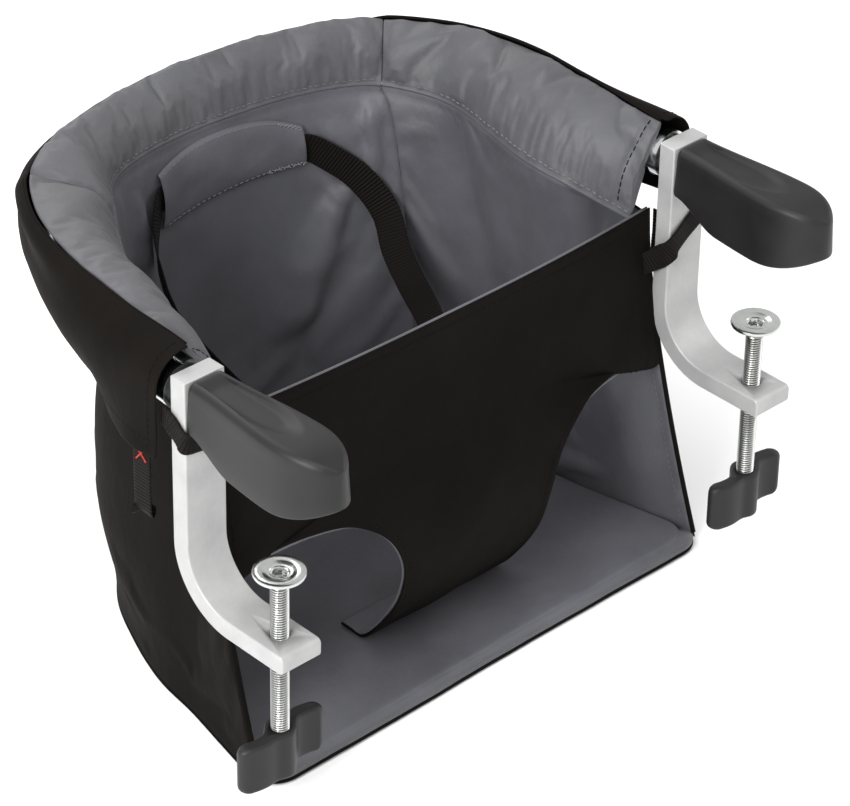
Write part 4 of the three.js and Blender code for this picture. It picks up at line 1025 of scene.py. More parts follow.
def collar(name, s0, s1, steps):
    """One padded length of the rim, puffed up between its seams and gathered at them."""
    inner0, inner1 = s0 > 0.01, s1 < 0.99
    along = np.linspace(0, 1, steps)
    if not inner0:
        along = along ** 1.4
    if not inner1:
        along = 1 - (1 - along) ** 1.4
    s = mix(s0, s1, along)
    t = np.linspace(0, 1, 25)
    S, T = np.meshgrid(s, t, indexing="ij")
    n, z = collar_top(S, T)
    top = rim(S, n, z)
    nrm = grid_normals(top)
    if nrm[steps // 2, 12, 2] < 0:
        nrm = -nrm
    fade = np.ones(steps)
    along = (s - s[0]) * rim_plan.length
    back = (s[-1] - s) * rim_plan.length
    for dist, seam in ((along, inner0), (back, inner1)):
        fade *= smooth(dist / (16 if seam else 5)) * 0.9 + 0.1
    # small puckers along both seams, and soft hollows across the pad
    arc = (S - s0) * rim_plan.length
    pucker = (0.5 * np.sin(arc * 0.72 + 2.2 * np.sin(arc * 0.11)) + 0.5 * np.sin(arc * 0.43 + 1.3)
              + 0.4 * np.sin(arc * 1.13 + 0.7))
    near_edge = np.exp(-((1 - T) / 0.2) ** 2) * smooth((1 - T) / 0.05)
    strength = 0.55 + 0.45 * waves(top, 11, 120)
    move = near_edge * pucker * 0.9 * strength
    move += waves(top, 5, 74, 2) * 1.5 * np.sin(math.pi * T)
    top = top + nrm * (move * fade[:, None])[..., None]
    valley = np.zeros(steps)
    if inner0:
        valley += np.exp(-(along / 7.5) ** 2)
    if inner1:
        valley += np.exp(-(back / 7.5) ** 2)
    top = top - nrm * (valley[:, None] * np.sin(math.pi * T) ** 0.7 * 2.6)[..., None]
    pinned = np.zeros(top.shape[:2], bool)
    pinned[:, :1] = pinned[:, -2:] = True
    pinned[:1] = pinned[-1:] = True
    top = simulate(top, pinned, 0.045, (0, 0, 3.0), 6.5, frames=20, stiff=10, bend=0.8)
    # the hem at a front end is sewn down
    if not (inner0 and inner1):
        from_end = back if inner0 else along
        groove = 0.9 * np.exp(-((from_end - HEM) / 1.5) ** 2)
        top = top - nrm * (groove[:, None] * np.sin(math.pi * T) ** 0.4)[..., None]
    # below: lip, hollow, and round the tube
    reach, drop = stitch_reach(s), stitch_drop(s)
    clear = TUBE_R + mix(2.2, 0, settled(s)) + 0.7
    rows = [(-reach - 0.9, -drop - 0.9), (-reach - 0.6, -drop - 2.2), (-reach + 1.4, -drop - 3.0)]
    a0 = np.array([math.cos(1.13 * math.pi), math.sin(1.13 * math.pi)])
    rows.append((mix(-reach + 1.4, clear * a0[0] - lean(s), 0.5), mix(-drop - 3.0, clear * a0[1], 0.5) + 3))
    rows += [(clear * math.cos(a * math.pi) - lean(s), clear * math.sin(a * math.pi))
             for a in np.linspace(1.13, 0.56, 9)]
    low = np.stack([rim(s, q, w) for q, w in rows], 1)
    rings = np.concatenate([top, low], 1)
    ends = []
    for k, seam in ((0, inner0), (-1, inner1)):
        ring = rings[k]
        mid = ring.mean(0)
        tangent = unit(rings[1 if k == 0 else -2].mean(0) - mid)
        ends.append(ring + tangent * (0.3 if seam else 1.1))
        rings[k] = ring + unit(mid - ring) * (0.05 if seam else 1.0)
    rings = np.concatenate([rings[:1], ends[0][None], rings[1:-1], ends[1][None], rings[-1:]])
    ob = tube_mesh(name, rings, True, 60, turn_uv=False)
    return ob, top


collar_tops = {}
for part, (s0, s1) in STRETCHES.items():
    ob, top = collar(f"{part}_padded_collar", s0, s1, 84 if part != "back" else 120)
    collar_tops[part] = top
    dress(ob, PADGREY, "seat", [f"{part}_collar"])
    subdivide(ob)


# Bag walls

def ridge(arc, z, a, b, width, height, sharp=1.0):
    """A soft fold in a wall, from (arc, z) a to b: one ridge that fades at both ends."""
    a, b = np.array(a, float), np.array(b, float)
    d = b - a
    rel = np.stack([arc - a[0], z - a[1]], -1)
    t = (rel @ d) / (d @ d)
    off = (rel[..., 0] * d[1] - rel[..., 1] * d[0]) / np.linalg.norm(d)
    fade = smooth(t / 0.25) * smooth((1 - t) / 0.3)
    w = width * (0.45 + 0.55 * np.clip(t, 0, 1))
    shape = np.where(off > 0, np.exp(-(off / w) ** 2), np.exp(-np.abs(off / (w * sharp)) ** 1.6))
    return height * shape * fade


SEAM_GAP = 0.4      # between two neighbouring walls


def wall_sheet(s0, s1, cols, rows):
    """One stretch of the bag's wall: the shares along the rim, how far down, and the places."""
    s = np.linspace(s0 + SEAM_GAP / rim_plan.length, s1 - SEAM_GAP / rim_plan.length, cols)
    down = np.linspace(0, 1, rows)
    S, D = np.meshgrid(s, down, indexing="ij")
    return S, D, wall(S, D)


# Folds of the lining from one place to another, each place by its length along the rim from
# the middle of the back, left being above 0, and its height: then width, height and how much
# wider the left side is
BACK_FOLDS = [((-104, -66), (-58, -180), 7.5, 7.5, 2.8), ((-84, -64), (-98, -84), 4, 2.2, 1.0),
              ((-107, -70), (-97, -86), 4, 2.0, 1.0), ((-77, -26), (-125, -66), 7, 3.2, 1.0),
              ((-127, -12), (-121, -84), 5, 4.2, 1.3), ((-73, -12), (-119, -52), 4, 2.0, 1.0),
              ((53, -24), (42, -135), 6, 6.0, 2.4), ((75, -16), (70, -64), 5, 2.6, 1.2),
              ((59, -14), (40, -36), 4, 2.2, 1.0), ((-30, -90), (-14, -225), 14, 3.0, 1.0)]


def slack(s, down):
    """How far the loose lining hangs in at the left rear corner."""
    return 15 * np.exp(-((s - 0.675) / 0.05) ** 2) * smooth(down / 0.28) * smooth((1 - down) / 0.6)


def belly(s, down):
    """How far the outer cloth hangs out at the left rear corner."""
    return 11.5 * np.exp(-((s - 0.74) / 0.09) ** 2) * smooth(down / 0.5) * smooth((1 - down) / 0.36)


def liner(part, s0, s1):
    """The bag's grey lining along one stretch of the rim."""
    S, D, flat = wall_sheet(s0, s1, 96 if part == "back" else 84, 66)
    arc = (S - 0.5) * rim_plan.length
    out = unit(base_plan.at(S, 1.0) - base_plan.at(S))
    p = flat - out * slack(S, D)[..., None]
    q = p
    if part == "back":
        bulge = np.zeros(S.shape)
        for a, b, w, h, sh in BACK_FOLDS:
            bulge += ridge(arc, flat[..., 2], a, b, w, h, sh)
        along_rim = smooth((S - s0) / 0.012) * smooth((s1 - S) / 0.04)
        edge = along_rim * smooth(D / 0.05) * smooth((1 - D) / 0.12)
        q = p - out * (bulge * edge)[..., None]
    pinned = np.zeros(S.shape, bool)
    pinned[:, :1] = pinned[:, -2:] = True
    pinned[:1] = pinned[-1:] = True
    settled_q = simulate(q, pinned, 0.018, (0, 0, -1.0), 7, frames=20, stiff=14, bend=1.6)
    along = ((settled_q - p) * out).sum(-1)
    wanted = np.where(along > 0, 0.25 * np.tanh(along / 0.6), along)
    q = settled_q + out * (wanted - along)[..., None]
    # the lining's top row runs up behind the collar's sewn edge
    s = S[:, 0]
    over = rim(s, -stitch_reach(s) + 1.2, -stitch_drop(s) - 1.8)[:, None]
    q = np.concatenate([over, q], 1)
    flat = np.concatenate([over, flat], 1)
    low, high = (0.35, 1.65) if faces_in(q) else (-1.65, -0.35)
    ob = cloth_mesh(f"{part}_lining_cloth", q, low, high)
    dress(ob, GREY, "seat", [f"{part}_liner"])


def faces_in(q):
    """True where a wall grid's normals point into the seat."""
    i, j = q.shape[0] // 2, q.shape[1] // 2
    inward = np.array([0, 70, q[i, j, 2]]) - q[i, j]
    return float((grid_normals(q)[i, j] * inward).sum()) > 0


OUTER_FOLDS = {
    "left": [((-330, -70), (-318, -235), 13, 4.0, 0.8), ((-388, -95), (-372, -225), 12, 3.5, 0.8)],
    "right": [((330, -70), (318, -235), 13, 4.0, 0.8), ((385, -80), (372, -225), 12, 3.0, 0.8)],
    "back": [((-80, -60), (-60, -220), 16, 3.5, 0.8), ((40, -60), (66, -225), 18, 3.0, 0.8)],
}


def outer(part, s0, s1):
    """The bag's black outer cloth along one stretch of the rim."""
    S, D, p = wall_sheet(s0, s1, 96 if part == "back" else 88, 60)
    arc = (S - 0.5) * rim_plan.length
    out = unit(base_plan.at(S, 1.0) - base_plan.at(S))
    bulge = np.zeros(S.shape)
    for a, b, w, h, sh in OUTER_FOLDS[part]:
        bulge += ridge(arc, p[..., 2], a, b, w, h, sh)
    p = p + out * belly(S, D)[..., None]
    along_rim = smooth((S - s0) / 0.03) * smooth((s1 - S) / 0.03)
    edge = along_rim * smooth(D / 0.08) * smooth((1 - D) / 0.12)
    q = p + out * (bulge * edge)[..., None]
    pinned = np.zeros(S.shape, bool)
    pinned[:, :1] = pinned[:, -2:] = True
    pinned[:1] = pinned[-1:] = True
    settled_q = simulate(q, pinned, 0.007, (0, 0, -1.0), 6, frames=20, stiff=14, bend=2.4)
    along = ((settled_q - p) * out).sum(-1)
    wanted = np.where(along < 0, 0.2 * np.tanh(along / 0.6), along)
    q = settled_q + out * (wanted - along)[..., None]
    low, high = (-1.65, -0.35) if faces_in(q) else (0.35, 1.65)
    ob = cloth_mesh(f"{part}_outer_cloth", q, low, high)
    dress(ob, BLACK, "seat", [f"{part}_outer_wall"])


for part, (s0, s1) in STRETCHES.items():
    liner(part, s0, s1)
    outer(part, s0, s1)


# Cuffs over the tube

# The cuff's section, out from the tube's middle and up: at the front ends and further back
CUFF_END = [(-3.6, 21.6), (0.2, 21.9), (5, 20.2), (10.6, 16.4), (15, 9.5), (16.4, 1), (16.9, -8),
            (17, -18.5), (17.3, -28), (18.5, -37)]
CUFF_MID = [(0.9, 28.8), (4.4, 25.0), (9.4, 18.6), (13.4, 11.2), (15.5, 2.5), (15.6, -6), (13.6, -14),
            (10.5, -21), (6.6, -29), (2, -37)]
CUFF_START = -0.0052     # the cuffs reach a little further forward than the collar


def cuff(part, s0, s1):
    """The black cuff over the tube along one stretch of the rim."""
    first, last = (0.0003 if inner else CUFF_START for inner in (s0 > 0.01, s1 < 0.99))
    s = np.linspace(s0 + first, s1 - last, 90)
    S, K = np.meshgrid(s, np.arange(26), indexing="ij")
    end, mid = (spline([(a, b, 0) for a, b in c], 26)[:, :2] for c in (CUFF_END, CUFF_MID))
    tuck = smooth(((0.5 - np.abs(S - 0.5)) * rim_plan.length - 8) / 72)
    share = mix(risen(S), tuck, smooth((K - 8) / 6))
    n = mix(end[K][..., 0], mid[K][..., 0], share)
    z = mix(end[K][..., 1], mid[K][..., 1], share)
    z = z + (crest(S) - 0.1 - 5.0 * hidden(S) - z[:, :1]) * np.clip(1 - K / 11, 0, 1)
    n = n - lean(S) * (smooth((K - 1) / 8) + 0.45 * smooth((K - 12) / 12))
    n = n - 1.2 * hidden(S) * np.clip(1 - K / 6, 0, 1)
    hang = np.clip((10 - z) / 47, 0, 1)
    p0 = rim(S, n, z)
    arc = (S - 0.5) * rim_plan.length
    wobble = 1.5 * np.sin(arc / 23 + 1.1) + 1.0 * np.sin(arc / 11.3 + 0.4) + 0.5 * np.sin(arc / 6.1)
    wobble = wobble * hang ** 1.4
    lift = np.sin(arc / 31 + 2) * hang ** 2 * 1.2
    p = rim(S, n + wobble * 0.8 + 0.7, z + lift)
    low, high = (0.0, 1.3) if cuff_out(p) else (-1.3, 0.0)
    ob = cloth_mesh(f"{part}_cuff_cloth", p, low, high)
    dress(ob, BLACK, "seat", [f"{part}_cuff"])
    subdivide(ob)
    out = unit(rim_plan.at(mix(START, 1 - START, s), 1.0) - rim_plan.at(mix(START, 1 - START, s)))
    sew(f"{part}_cuff_stitching", p[:, -4] + out * 1.25, out, THREAD_BLACK, "black_cloth")
    if part != "back":
        k = 3 if part == "right" else -4
        face = grid_normals(p)[k, 1:-1] * (1 if cuff_out(p) else -1)
        sew(f"{part}_cuff_hem_stitching", p[k, 1:-1] + face * 1.3, face, THREAD_BLACK, "black_cloth",
            2.6, 1.2, 0.5, 0.3)


def cuff_out(p):
    n = grid_normals(p)
    i, j = p.shape[0] // 2, 18
    c = np.array([0, 70, p[i, j, 2]])
    return float((n[i, j] * (p[i, j] - c)).sum()) > 0


for part, (s0, s1) in STRETCHES.items():
    cuff(part, s0, s1)

# the rim's seam: a thin black welt between the grey collar and the black cuff
s = np.linspace(0.001, 0.999, 420)
welt = sweep(rim(s, mix(-4.0, 1.1, risen(s)) - hidden(s) * 0.6, crest(s) + 0.2 - hidden(s) * 4.2),
             round_section(0.85, 0.85, 8), (0, 0, 1))
dress(tube_mesh("rim_welt", welt, True, 180), BLACK, "seat", ())

# stitches along the collar's sewn edge, and black ones across its front hems
for part, (s0, s1) in STRETCHES.items():
    top = collar_tops[part]
    nrm = grid_normals(top)
    if nrm[30, 12, 2] < 0:
        nrm = -nrm
    row, face = top[2:-2, 23] + nrm[2:-2, 23] * 0.15, nrm[2:-2, 23]
    if part == "right":
        cut = int(len(row) * 0.86)
        sew("right_collar_stitching", row[:cut], face[:cut], THREAD_WHITE, "grey_cloth",
            2.5, 1.5, 0.62, 0.3)
        row, face = row[cut:], face[cut:]
    sew(f"{part}_collar_seam_stitching", row, face, THREAD_GREY, "grey_cloth", 2.8, 1.2, 0.5, 0.24)
    if part == "back":
        continue
    end = 0 if part == "right" else -1
    from_end = np.linalg.norm(top[:, 12] - top[end, 12], axis=1)
    k = int(np.abs(from_end - HEM).argmin())
    row, face = top[k, 1:-2] + nrm[k, 1:-2] * 0.1, nrm[k, 1:-2]
    sew(f"{part}_collar_hem_stitching", row, face, THREAD_BLACK, "grey_cloth", 3.4, 0.9, 0.75, 0.34)


# Front panel and crotch piece

# From the panel's top edge down to the seat, in shares: each row's width, then how far down
# and how far out it lies at its ends, then the same in its middle
PANEL = np.array([
    [1, .178, .034, .161, .297], [1, .26, .07, .225, .335], [1, .36, .15, .285, .37],
    [1, .47, .25, .335, .41], [1, .562, .37, .38, .45], [.83, .537, .37, .42, .5],
    [.68, .515, .55, .46, .58], [.53, .52, .73, .51, .71], [.4, .58, .86, .575, .86],
    [.342, .66, .91, .66, .91], [.325, .76, .78, .76, .79], [.32, .86, .45, .86, .47],
])
PANEL_HALF, PANEL_BACK, PANEL_BULGE = 162.0, 8.0, 42.0
PANEL_ROWS, PANEL_COLUMNS = 110, 97
SEAT_TOP = -235.7


def panel_point(row, x):
    width, edge_down, edge_out, mid_down, mid_out = [row[..., k] for k in range(5)]
    away = np.abs(x)
    down = mix(mid_down, edge_down, away ** 1.5)
    out = mix(mid_out, edge_out, away ** 2)
    return np.stack([x * width * PANEL_HALF, PANEL_BACK - out * PANEL_BULGE, -down * BASE_DROP], -1)


def panel_grid():
    x = np.linspace(-1, 1, PANEL_COLUMNS)
    rows = [panel_point(np.broadcast_to(r, (len(x), 5)), x) for r in PANEL]
    flat = SEAT_TOP + 2 + 1.7 + 0.35
    for back in (6, 14, 22):
        tongue = [x * 0.32 * PANEL_HALF, np.full(len(x), float(back)), np.full(len(x), flat)]
        rows.append(np.stack(tongue, 1))
    rows = np.array(rows)
    # each column runs smoothly through the rows
    return np.stack([spline(rows[:, j], PANEL_ROWS) for j in range(len(x))], 1)


panel_flat = panel_grid()
PN = grid_normals(panel_flat)
if PN[20, 48, 1] > 0:
    PN = -PN                      # towards the table
down, cross = np.arange(PANEL_ROWS), np.arange(PANEL_COLUMNS)
edge_u = np.minimum(down, 12)[:, None] / 12 * np.minimum(down[::-1], 16)[:, None] / 16
edge_v = np.minimum(np.minimum(cross, cross[::-1]), 9)[None] / 9
dents = waves(panel_flat @ np.array([[1, 0, 0.45], [0, 1, 0], [-0.45, 0, 1]]), 19, 110, 2) * 2.1
dents += waves(panel_flat, 23, 46, 2) * 0.5
panel_set = panel_flat + PN * (dents * smooth(edge_u) * smooth(edge_v))[..., None]
PN = grid_normals(panel_set)
if PN[20, 48, 1] > 0:
    PN = -PN


def sheet_between(name, p, n, low, high):
    sign = 1.0 if (grid_normals(p)[20, 48] * n[20, 48]).sum() > 0 else -1.0
    return cloth_mesh(name, p, *sorted((low * sign, high * sign)))


front = sheet_between("front_panel_cloth", panel_set, PN, 0.3, 1.6)
back = sheet_between("front_lining_cloth", panel_set, PN, -1.6, -0.3)
dress(front, BLACK, "seat", ["front_panel"])
dress(back, GREY, "seat", ["front_lining"])

outer_face = panel_set + PN * 1.75
HEM_STITCHES = (2.6, 1.2, 0.4, 0.2)       # length, space between, width and height
for tag, col in (("left", 3), ("right", -4)):
    sew(f"panel_{tag}_stitching", outer_face[3:-12, col], PN[3:-12, col], THREAD_BLACK, "black_cloth",
        *HEM_STITCHES)
sew("panel_top_stitching", outer_face[3, 3:-3], PN[3, 3:-3], THREAD_BLACK, "black_cloth", *HEM_STITCHES)

# the lining's folded edge shows as a thin grey line along the panel's top
rim_line = sweep(panel_set[0, 1:-1] + np.array([0, 0, 0.35]), round_section(1.0, 0.75, 8), (0, 1, 0))
dress(tube_mesh("panel_top_edge", rim_line, True, 180), GREY, "seat", ())


# Base: cloth, padded cover, piping

def pulled_forward(plan):
    """The cloth's front edge is drawn a little further forward, most of all at the left."""
    plan = plan.copy()
    amount = mix(1.5, 4.0, smooth((60 - plan[:, 0]) / 180))
    plan[:, 1] -= amount * smooth((-20 - plan[:, 1]) / 16)
    return plan


def base_outline(side_inset, front_inset, count):
    """The base's plan, drawn in from its sides and rear and from its front."""
    half = FRONT_HALF - side_inset
    y0 = BASE_FRONT + front_inset
    r = BASE_CORNER - front_inset
    a = np.linspace(-math.pi / 2, 0, 12)
    corner = np.stack([half - r + r * np.cos(a), y0 + r + r * np.sin(a)], 1)
    rear = base_plan.at(np.linspace(0, 1, 300), -side_inset)[:, :2]
    rear = rear[rear[:, 1] > y0 + r + 1]
    front_line = np.stack([np.linspace(0, half - r, 12)[:-1], np.full(11, y0)], 1)
    right = np.concatenate([front_line, corner])
    left = (right * [-1, 1])[::-1]
    loop = pulled_forward(np.concatenate([right, rear, left]))
    return resample(np.vstack([loop, loop[:1]]), count + 1)[:-1]


def seat_cover():
    """The grey padded base: a soft sheet with a rounded edge over the board."""
    spoke = base_outline(4.5, EDGE_BACK, 220) - BASE_MIDDLE
    length = np.linalg.norm(spoke, axis=1, keepdims=True)
    insets = [(0.6, -4.0), (0.1, -3.2), (0.0, -2.4), (0.2, -1.5), (0.9, -0.7), (2.2, -0.15), (4, 0.1),
              (6.5, 0.22)]
    rings = []
    for inset, dz in insets:
        q = BASE_MIDDLE + spoke / length * (length - inset)
        rings.append(np.concatenate([q, np.full((len(q), 1), dz)], 1))
    for t in np.linspace(0, 0.985, 34)[1:]:
        q = BASE_MIDDLE + spoke * (1 - t) * ((length - 6.5) / length)
        rings.append(np.concatenate([q, np.full((len(q), 1), 0.25 + 1.6 * float(smooth(t * 2)))], 1))
    rings = np.array(rings)
    z = rings[..., 2]
    xy = np.concatenate([rings[..., :2], 0 * z[..., None]], -1)
    soft = smooth((z + 1.2) / 1.4)
    rings[..., 2] = SEAT_TOP + z + (waves(xy, 21, 95, 2) * 0.55) * soft - 0.35
    bottom = rings[0].copy()
    bottom[:, 2] = SEAT_TOP - 4.0
    ob = tube_mesh("seat_cover", np.concatenate([bottom[None], rings]), True, 60)
    uv = ob.data.uv_layers["UVMap"]
    co = np.zeros(len(ob.data.vertices) * 3)
    ob.data.vertices.foreach_get("co", co)
    co = co.reshape(-1, 3)
    li = np.zeros(len(ob.data.loops), int)
    ob.data.loops.foreach_get("vertex_index", li)
    uv.data.foreach_set("uv", (co[li][:, :2] * 10).ravel())
    return ob


cover = seat_cover()
dress(cover, GREY, "seat", ["seat_pad"])
subdivide(cover)


def front_path(count):
    """Along the base's front edge, from the left corner round to the right one."""
    half = FRONT_HALF + EDGE_OUT + PIPING_OUT
    y0 = BASE_FRONT + EDGE_BACK - PIPING_OUT
    r = BASE_CORNER - EDGE_BACK + PIPING_OUT
    a = np.linspace(-math.pi / 2, 0, 16)[:13]
    corner = np.stack([half - r + r * np.cos(a), y0 + r + r * np.sin(a)], 1)
    line = np.stack([np.linspace(0, half - r, 30)[:-1], np.full(29, y0)], 1)
    right = np.concatenate([line, corner])
    loop = pulled_forward(np.concatenate([(right * [-1, 1])[::-1][:-1], right]))
    return resample(loop, count)


def plan_normals(plan):
    g = np.gradient(plan, axis=0)
    return unit(np.stack([g[:, 1], -g[:, 0]], 1))


def around_front(section, count, ripple):
    """Rings of a section, in pairs of how far out and how high, along the front edge."""
    plan = front_path(count)
    out = plan_normals(plan)
    section = np.asarray(section, float)
    rings = np.zeros((count, len(section), 3))
    arc = np.linspace(0, np.linalg.norm(np.diff(plan, axis=0), axis=1).sum(), count)
    r = ripple * (np.sin(arc / 9.0) * 0.5 + np.sin(arc / 17 + 1) * 0.6 + np.sin(arc / 4.7) * 0.25)
    for k, (n, z) in enumerate(section):
        rings[:, k, :2] = plan + out * (n + r * 0.5)[:, None]
        rings[:, k, 2] = z + r * 0.15
    return rings


# grey cloth rolls over the front edge and down to the piping
roll = [(-9.5, -236.6), (-7, -236.3), (-4.6, -236.5), (-2.4, -237.1), (-0.7, -238.2), (0.4, -239.7),
        (0.9, -241.4), (1.0, -243.2), (0.4, -243.9), (-0.9, -243.9),
        (-0.9, -241), (-2.4, -238.9), (-5, -238.1), (-9.5, -238)]
rings = around_front(roll, 190, 0.5)
ends = smooth(np.minimum(np.arange(190), np.arange(190)[::-1]) / 9.0)[:, None]
rings[..., 2] = mix(-243.9, rings[..., 2], mix(0.35, 1.0, ends))
dress(tube_mesh("seat_front_roll", rings, True, 60, True), GREY, "seat", ["front_binding"])
rings = around_front(round_section(1.35, 1.35, 14) + [0, -244.95], 200, 0.25)
dress(tube_mesh("front_piping", rings, True, 180, True), BLACK, "seat", ["front_binding"])
plan = front_path(260)
out = np.concatenate([plan_normals(plan), np.zeros((260, 1))], 1)
row = np.concatenate([plan, np.full((260, 1), -240.8)], 1) + out * 0.8
sew("front_roll_stitching", row[6:-6], out[6:-6], THREAD_GREY, "grey_cloth", 2.6, 1.3, 0.4, 0.2)


def base_cloth():
    """The black cloth under the board: out from its middle above, and back below."""
    spoke = base_outline(-EDGE_OUT, EDGE_BACK, 220) - BASE_MIDDLE
    levels = [(0.03, -245.4), (1.0, -245.4), (1.004, -246.2), (1.0, -247.0)]
    levels += [(float(t), -247.0) for t in np.linspace(0.97, 0.03, 20)]
    body = [np.concatenate([BASE_MIDDLE + spoke * t, np.full((220, 1), z)], 1) for t, z in levels]
    return tube_mesh("base_underside", body, True, 50)


ob = base_cloth()
dress(ob, BLACK, "seat", ["base_cover"])

# the walls' front edges are bound: a thin black bead up each one
for side_name, side in SIDES:
    share = 0.0 if side > 0 else 1.0
    down = np.linspace(0.0, 0.985, 70)
    edge_line = wall(np.full(70, share), down)
    edge_line[:, 1] -= 0.4
    bead = sweep(edge_line, round_section(1.75, 0.8, 10), (1, 0, 0))
    dress(tube_mesh(f"{side_name}_wall_binding", bead, True, 180), BLACK, "seat", ())
    inner = wall(np.full(120, 0.008 if side > 0 else 0.992), np.linspace(0.02, 0.97, 120))
    inner[:, 0] -= side * 1.85
    sew(f"{side_name}_wall_stitching", inner, (-side, 0, 0), THREAD_GREY, "grey_cloth", *HEM_STITCHES)


# Webbing

RIB, RIB_DEPTH = 2.0, 0.14                # the webbing's ribs: from one to the next, and their depth


def webbing(name, path, across, width, thick, columns=9):
    """A ribbed band along a path, its width turned to the given direction."""
    path = np.asarray(path, float)
    length = np.linalg.norm(np.diff(path, axis=0), axis=1).sum()
    count = max(int(length / (RIB / 6)), 8)
    fine = resample(path, count)
    if np.ndim(across) == 2:
        across = resample(across, count)
    rings = sweep(fine, band_section(width, thick, columns), across)
    wave = 0.5 + 0.5 * np.cos(2 * math.pi * np.linspace(0, length, count) / RIB)
    t = unit(np.gradient(fine, axis=0))
    across = np.broadcast_to(np.asarray(across, float), fine.shape)
    out = np.cross(t, unit(across - t * (across * t).sum(-1, keepdims=True)))
    up = ((rings - fine[:, None]) * out[:, None]).sum(-1, keepdims=True)
    scale = np.sign(up) * RIB_DEPTH * (wave - 1)[:, None, None] * (np.abs(up) > thick * 0.3)
    return tube_mesh(name, rings + out[:, None] * scale, True, 70)


# Each belt's way from the tunnel's end to the buckle, and where its width points
BELTS = {
    "right": [((81, 179.5, -55.6), (0.1, -0.1, 1)), ((94, 168.5, -69), (0.4, -0.3, 0.87)),
              ((101, 154, -87.5), (0.65, -0.4, 0.6)), ((93, 136, -102), (0.8, -0.5, 0.35)),
              ((84.5, 113, -111.5), (0.8, -0.5, 0.3)), ((74, 87, -118), (0.7, -0.4, 0.6)),
              ((60, 55, -142), (0.3, -0.2, 1)), ((44.7, 24, -168), (0, 0, 1)),
              ((34.7, 24, -168), (0, 0, 1))],
    "left": [((-35.5, 192.5, -51.5), (0, 0, 1)), ((-41.4, 187.2, -63.2), (0, 0, 1)),
             ((-45.6, 181, -73), (0, 0, 1)), ((-49.2, 171.5, -84.5), (0, 0, 1)),
             ((-52, 162, -93), (-0.1, 0, 1)), ((-53, 152, -101), (-0.2, 0, 1)),
             ((-49, 120, -120), (-0.2, 0, 1)), ((-38, 70, -146), (0, 0, 1)),
             ((-22.35, 24, -168), (0, 0, 1)), ((-12.35, 24, -168), (0, 0, 1))],
}
LAYER = 1.7
TUNNEL_MID, TUNNEL_HALF = 0.4675, 0.0825     # it sits to the right, as in use


def belt_path(side_name, side):
    """A belt's middle line and where its width points, out of the tunnel's end to the buckle."""
    count = 400
    at = TUNNEL_MID - side * np.linspace(0.0005, TUNNEL_HALF, 8)
    inward = rim_plan.at(at, -(LAYER + 0.25 + 0.6)) - rim_plan.at(at)
    inside = wall(at, np.full(8, 0.118)) + inward
    route = np.vstack([inside, [place for place, _ in BELTS[side_name]]])
    across = np.array([(0, 0, 1)] * 8 + [turn for _, turn in BELTS[side_name]], float)
    run = np.concatenate([[0], np.cumsum(np.linalg.norm(np.diff(route, axis=0), axis=1))])
    even = np.linspace(0, run[-1], count)
    return spline(route, count), unit(np.stack([np.interp(even, run, across[:, k]) for k in range(3)], 1))


for side_name, side in SIDES:
    p, across = belt_path(side_name, side)
    ob = webbing(f"{side_name}_lap_belt", p, across, 17, 1.2)
    dress(ob, WEB, None, [f"{side_name}_belt"])
    if side > 0:
        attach(ob, "seat")
    else:
        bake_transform(ob)


def tunnel():
    """The cloth sleeve on the lining that the lap belt runs through."""
    s = np.linspace(TUNNEL_MID - TUNNEL_HALF, TUNNEL_MID + TUNNEL_HALF, 90)
    S, v = np.meshgrid(s, np.linspace(0, 1, 24), indexing="ij")
    across = (S - s[0]) / (s[-1] - s[0])
    head = 0.012 + 0.045 * np.abs(2 * across - 1.05) ** 2.4
    foot = 0.163 + 0.037 * across ** 1.8
    D = mix(head, foot, v)
    p = wall(S, D)
    out = unit(base_plan.at(S, 1.0) - base_plan.at(S))
    lift = 1.7 + 0.3 + 2.8 * np.sin(math.pi * v) ** 0.4
    ends = np.minimum(np.abs(S - s[0]), np.abs(S - s[-1])) * rim_plan.length
    lift += 0.5 * np.exp(-(ends / 9) ** 2) * np.sin(math.pi * v)
    lift += 0.7 * waves(p, 8, 34, 2) * np.sin(math.pi * v)
    q = p - out * lift[..., None]
    ob = cloth_mesh("belt_tunnel_cloth", q, -0.45, 0.45)
    dress(ob, GREY, "seat", ["belt_tunnel"])
    for tag, col in (("top", 1), ("foot", -2)):
        row = q[2:-2, col] - out[2:-2, col] * 0.75
        sew(f"tunnel_{tag}_stitching", row, -out[2:-2, col], THREAD_GREY, "grey_cloth", 2.6, 1.1, 0.5, 0.26)
    # close zigzag stitches where the tunnel's right end is tacked down
    for tag, (i0, i1, j) in {"a": (1, 15, 1), "b": (0, 24, -2)}.items():
        k = np.linspace(i0, i1 - 1, 26)
        base = np.stack([np.interp(k, np.arange(90), q[:, j, c]) for c in range(3)], 1)
        up = np.array([0, 0, 1.1]) * np.where(np.arange(26) % 2, 1, -1)[:, None]
        face = -out[int(k[13]), 5]
        sew(f"tunnel_tack_{tag}", base + up * 0.7 + face * 0.9, face, THREAD_WHITE, "grey_cloth",
            2.0, 0.15, 0.6, 0.36)


tunnel()


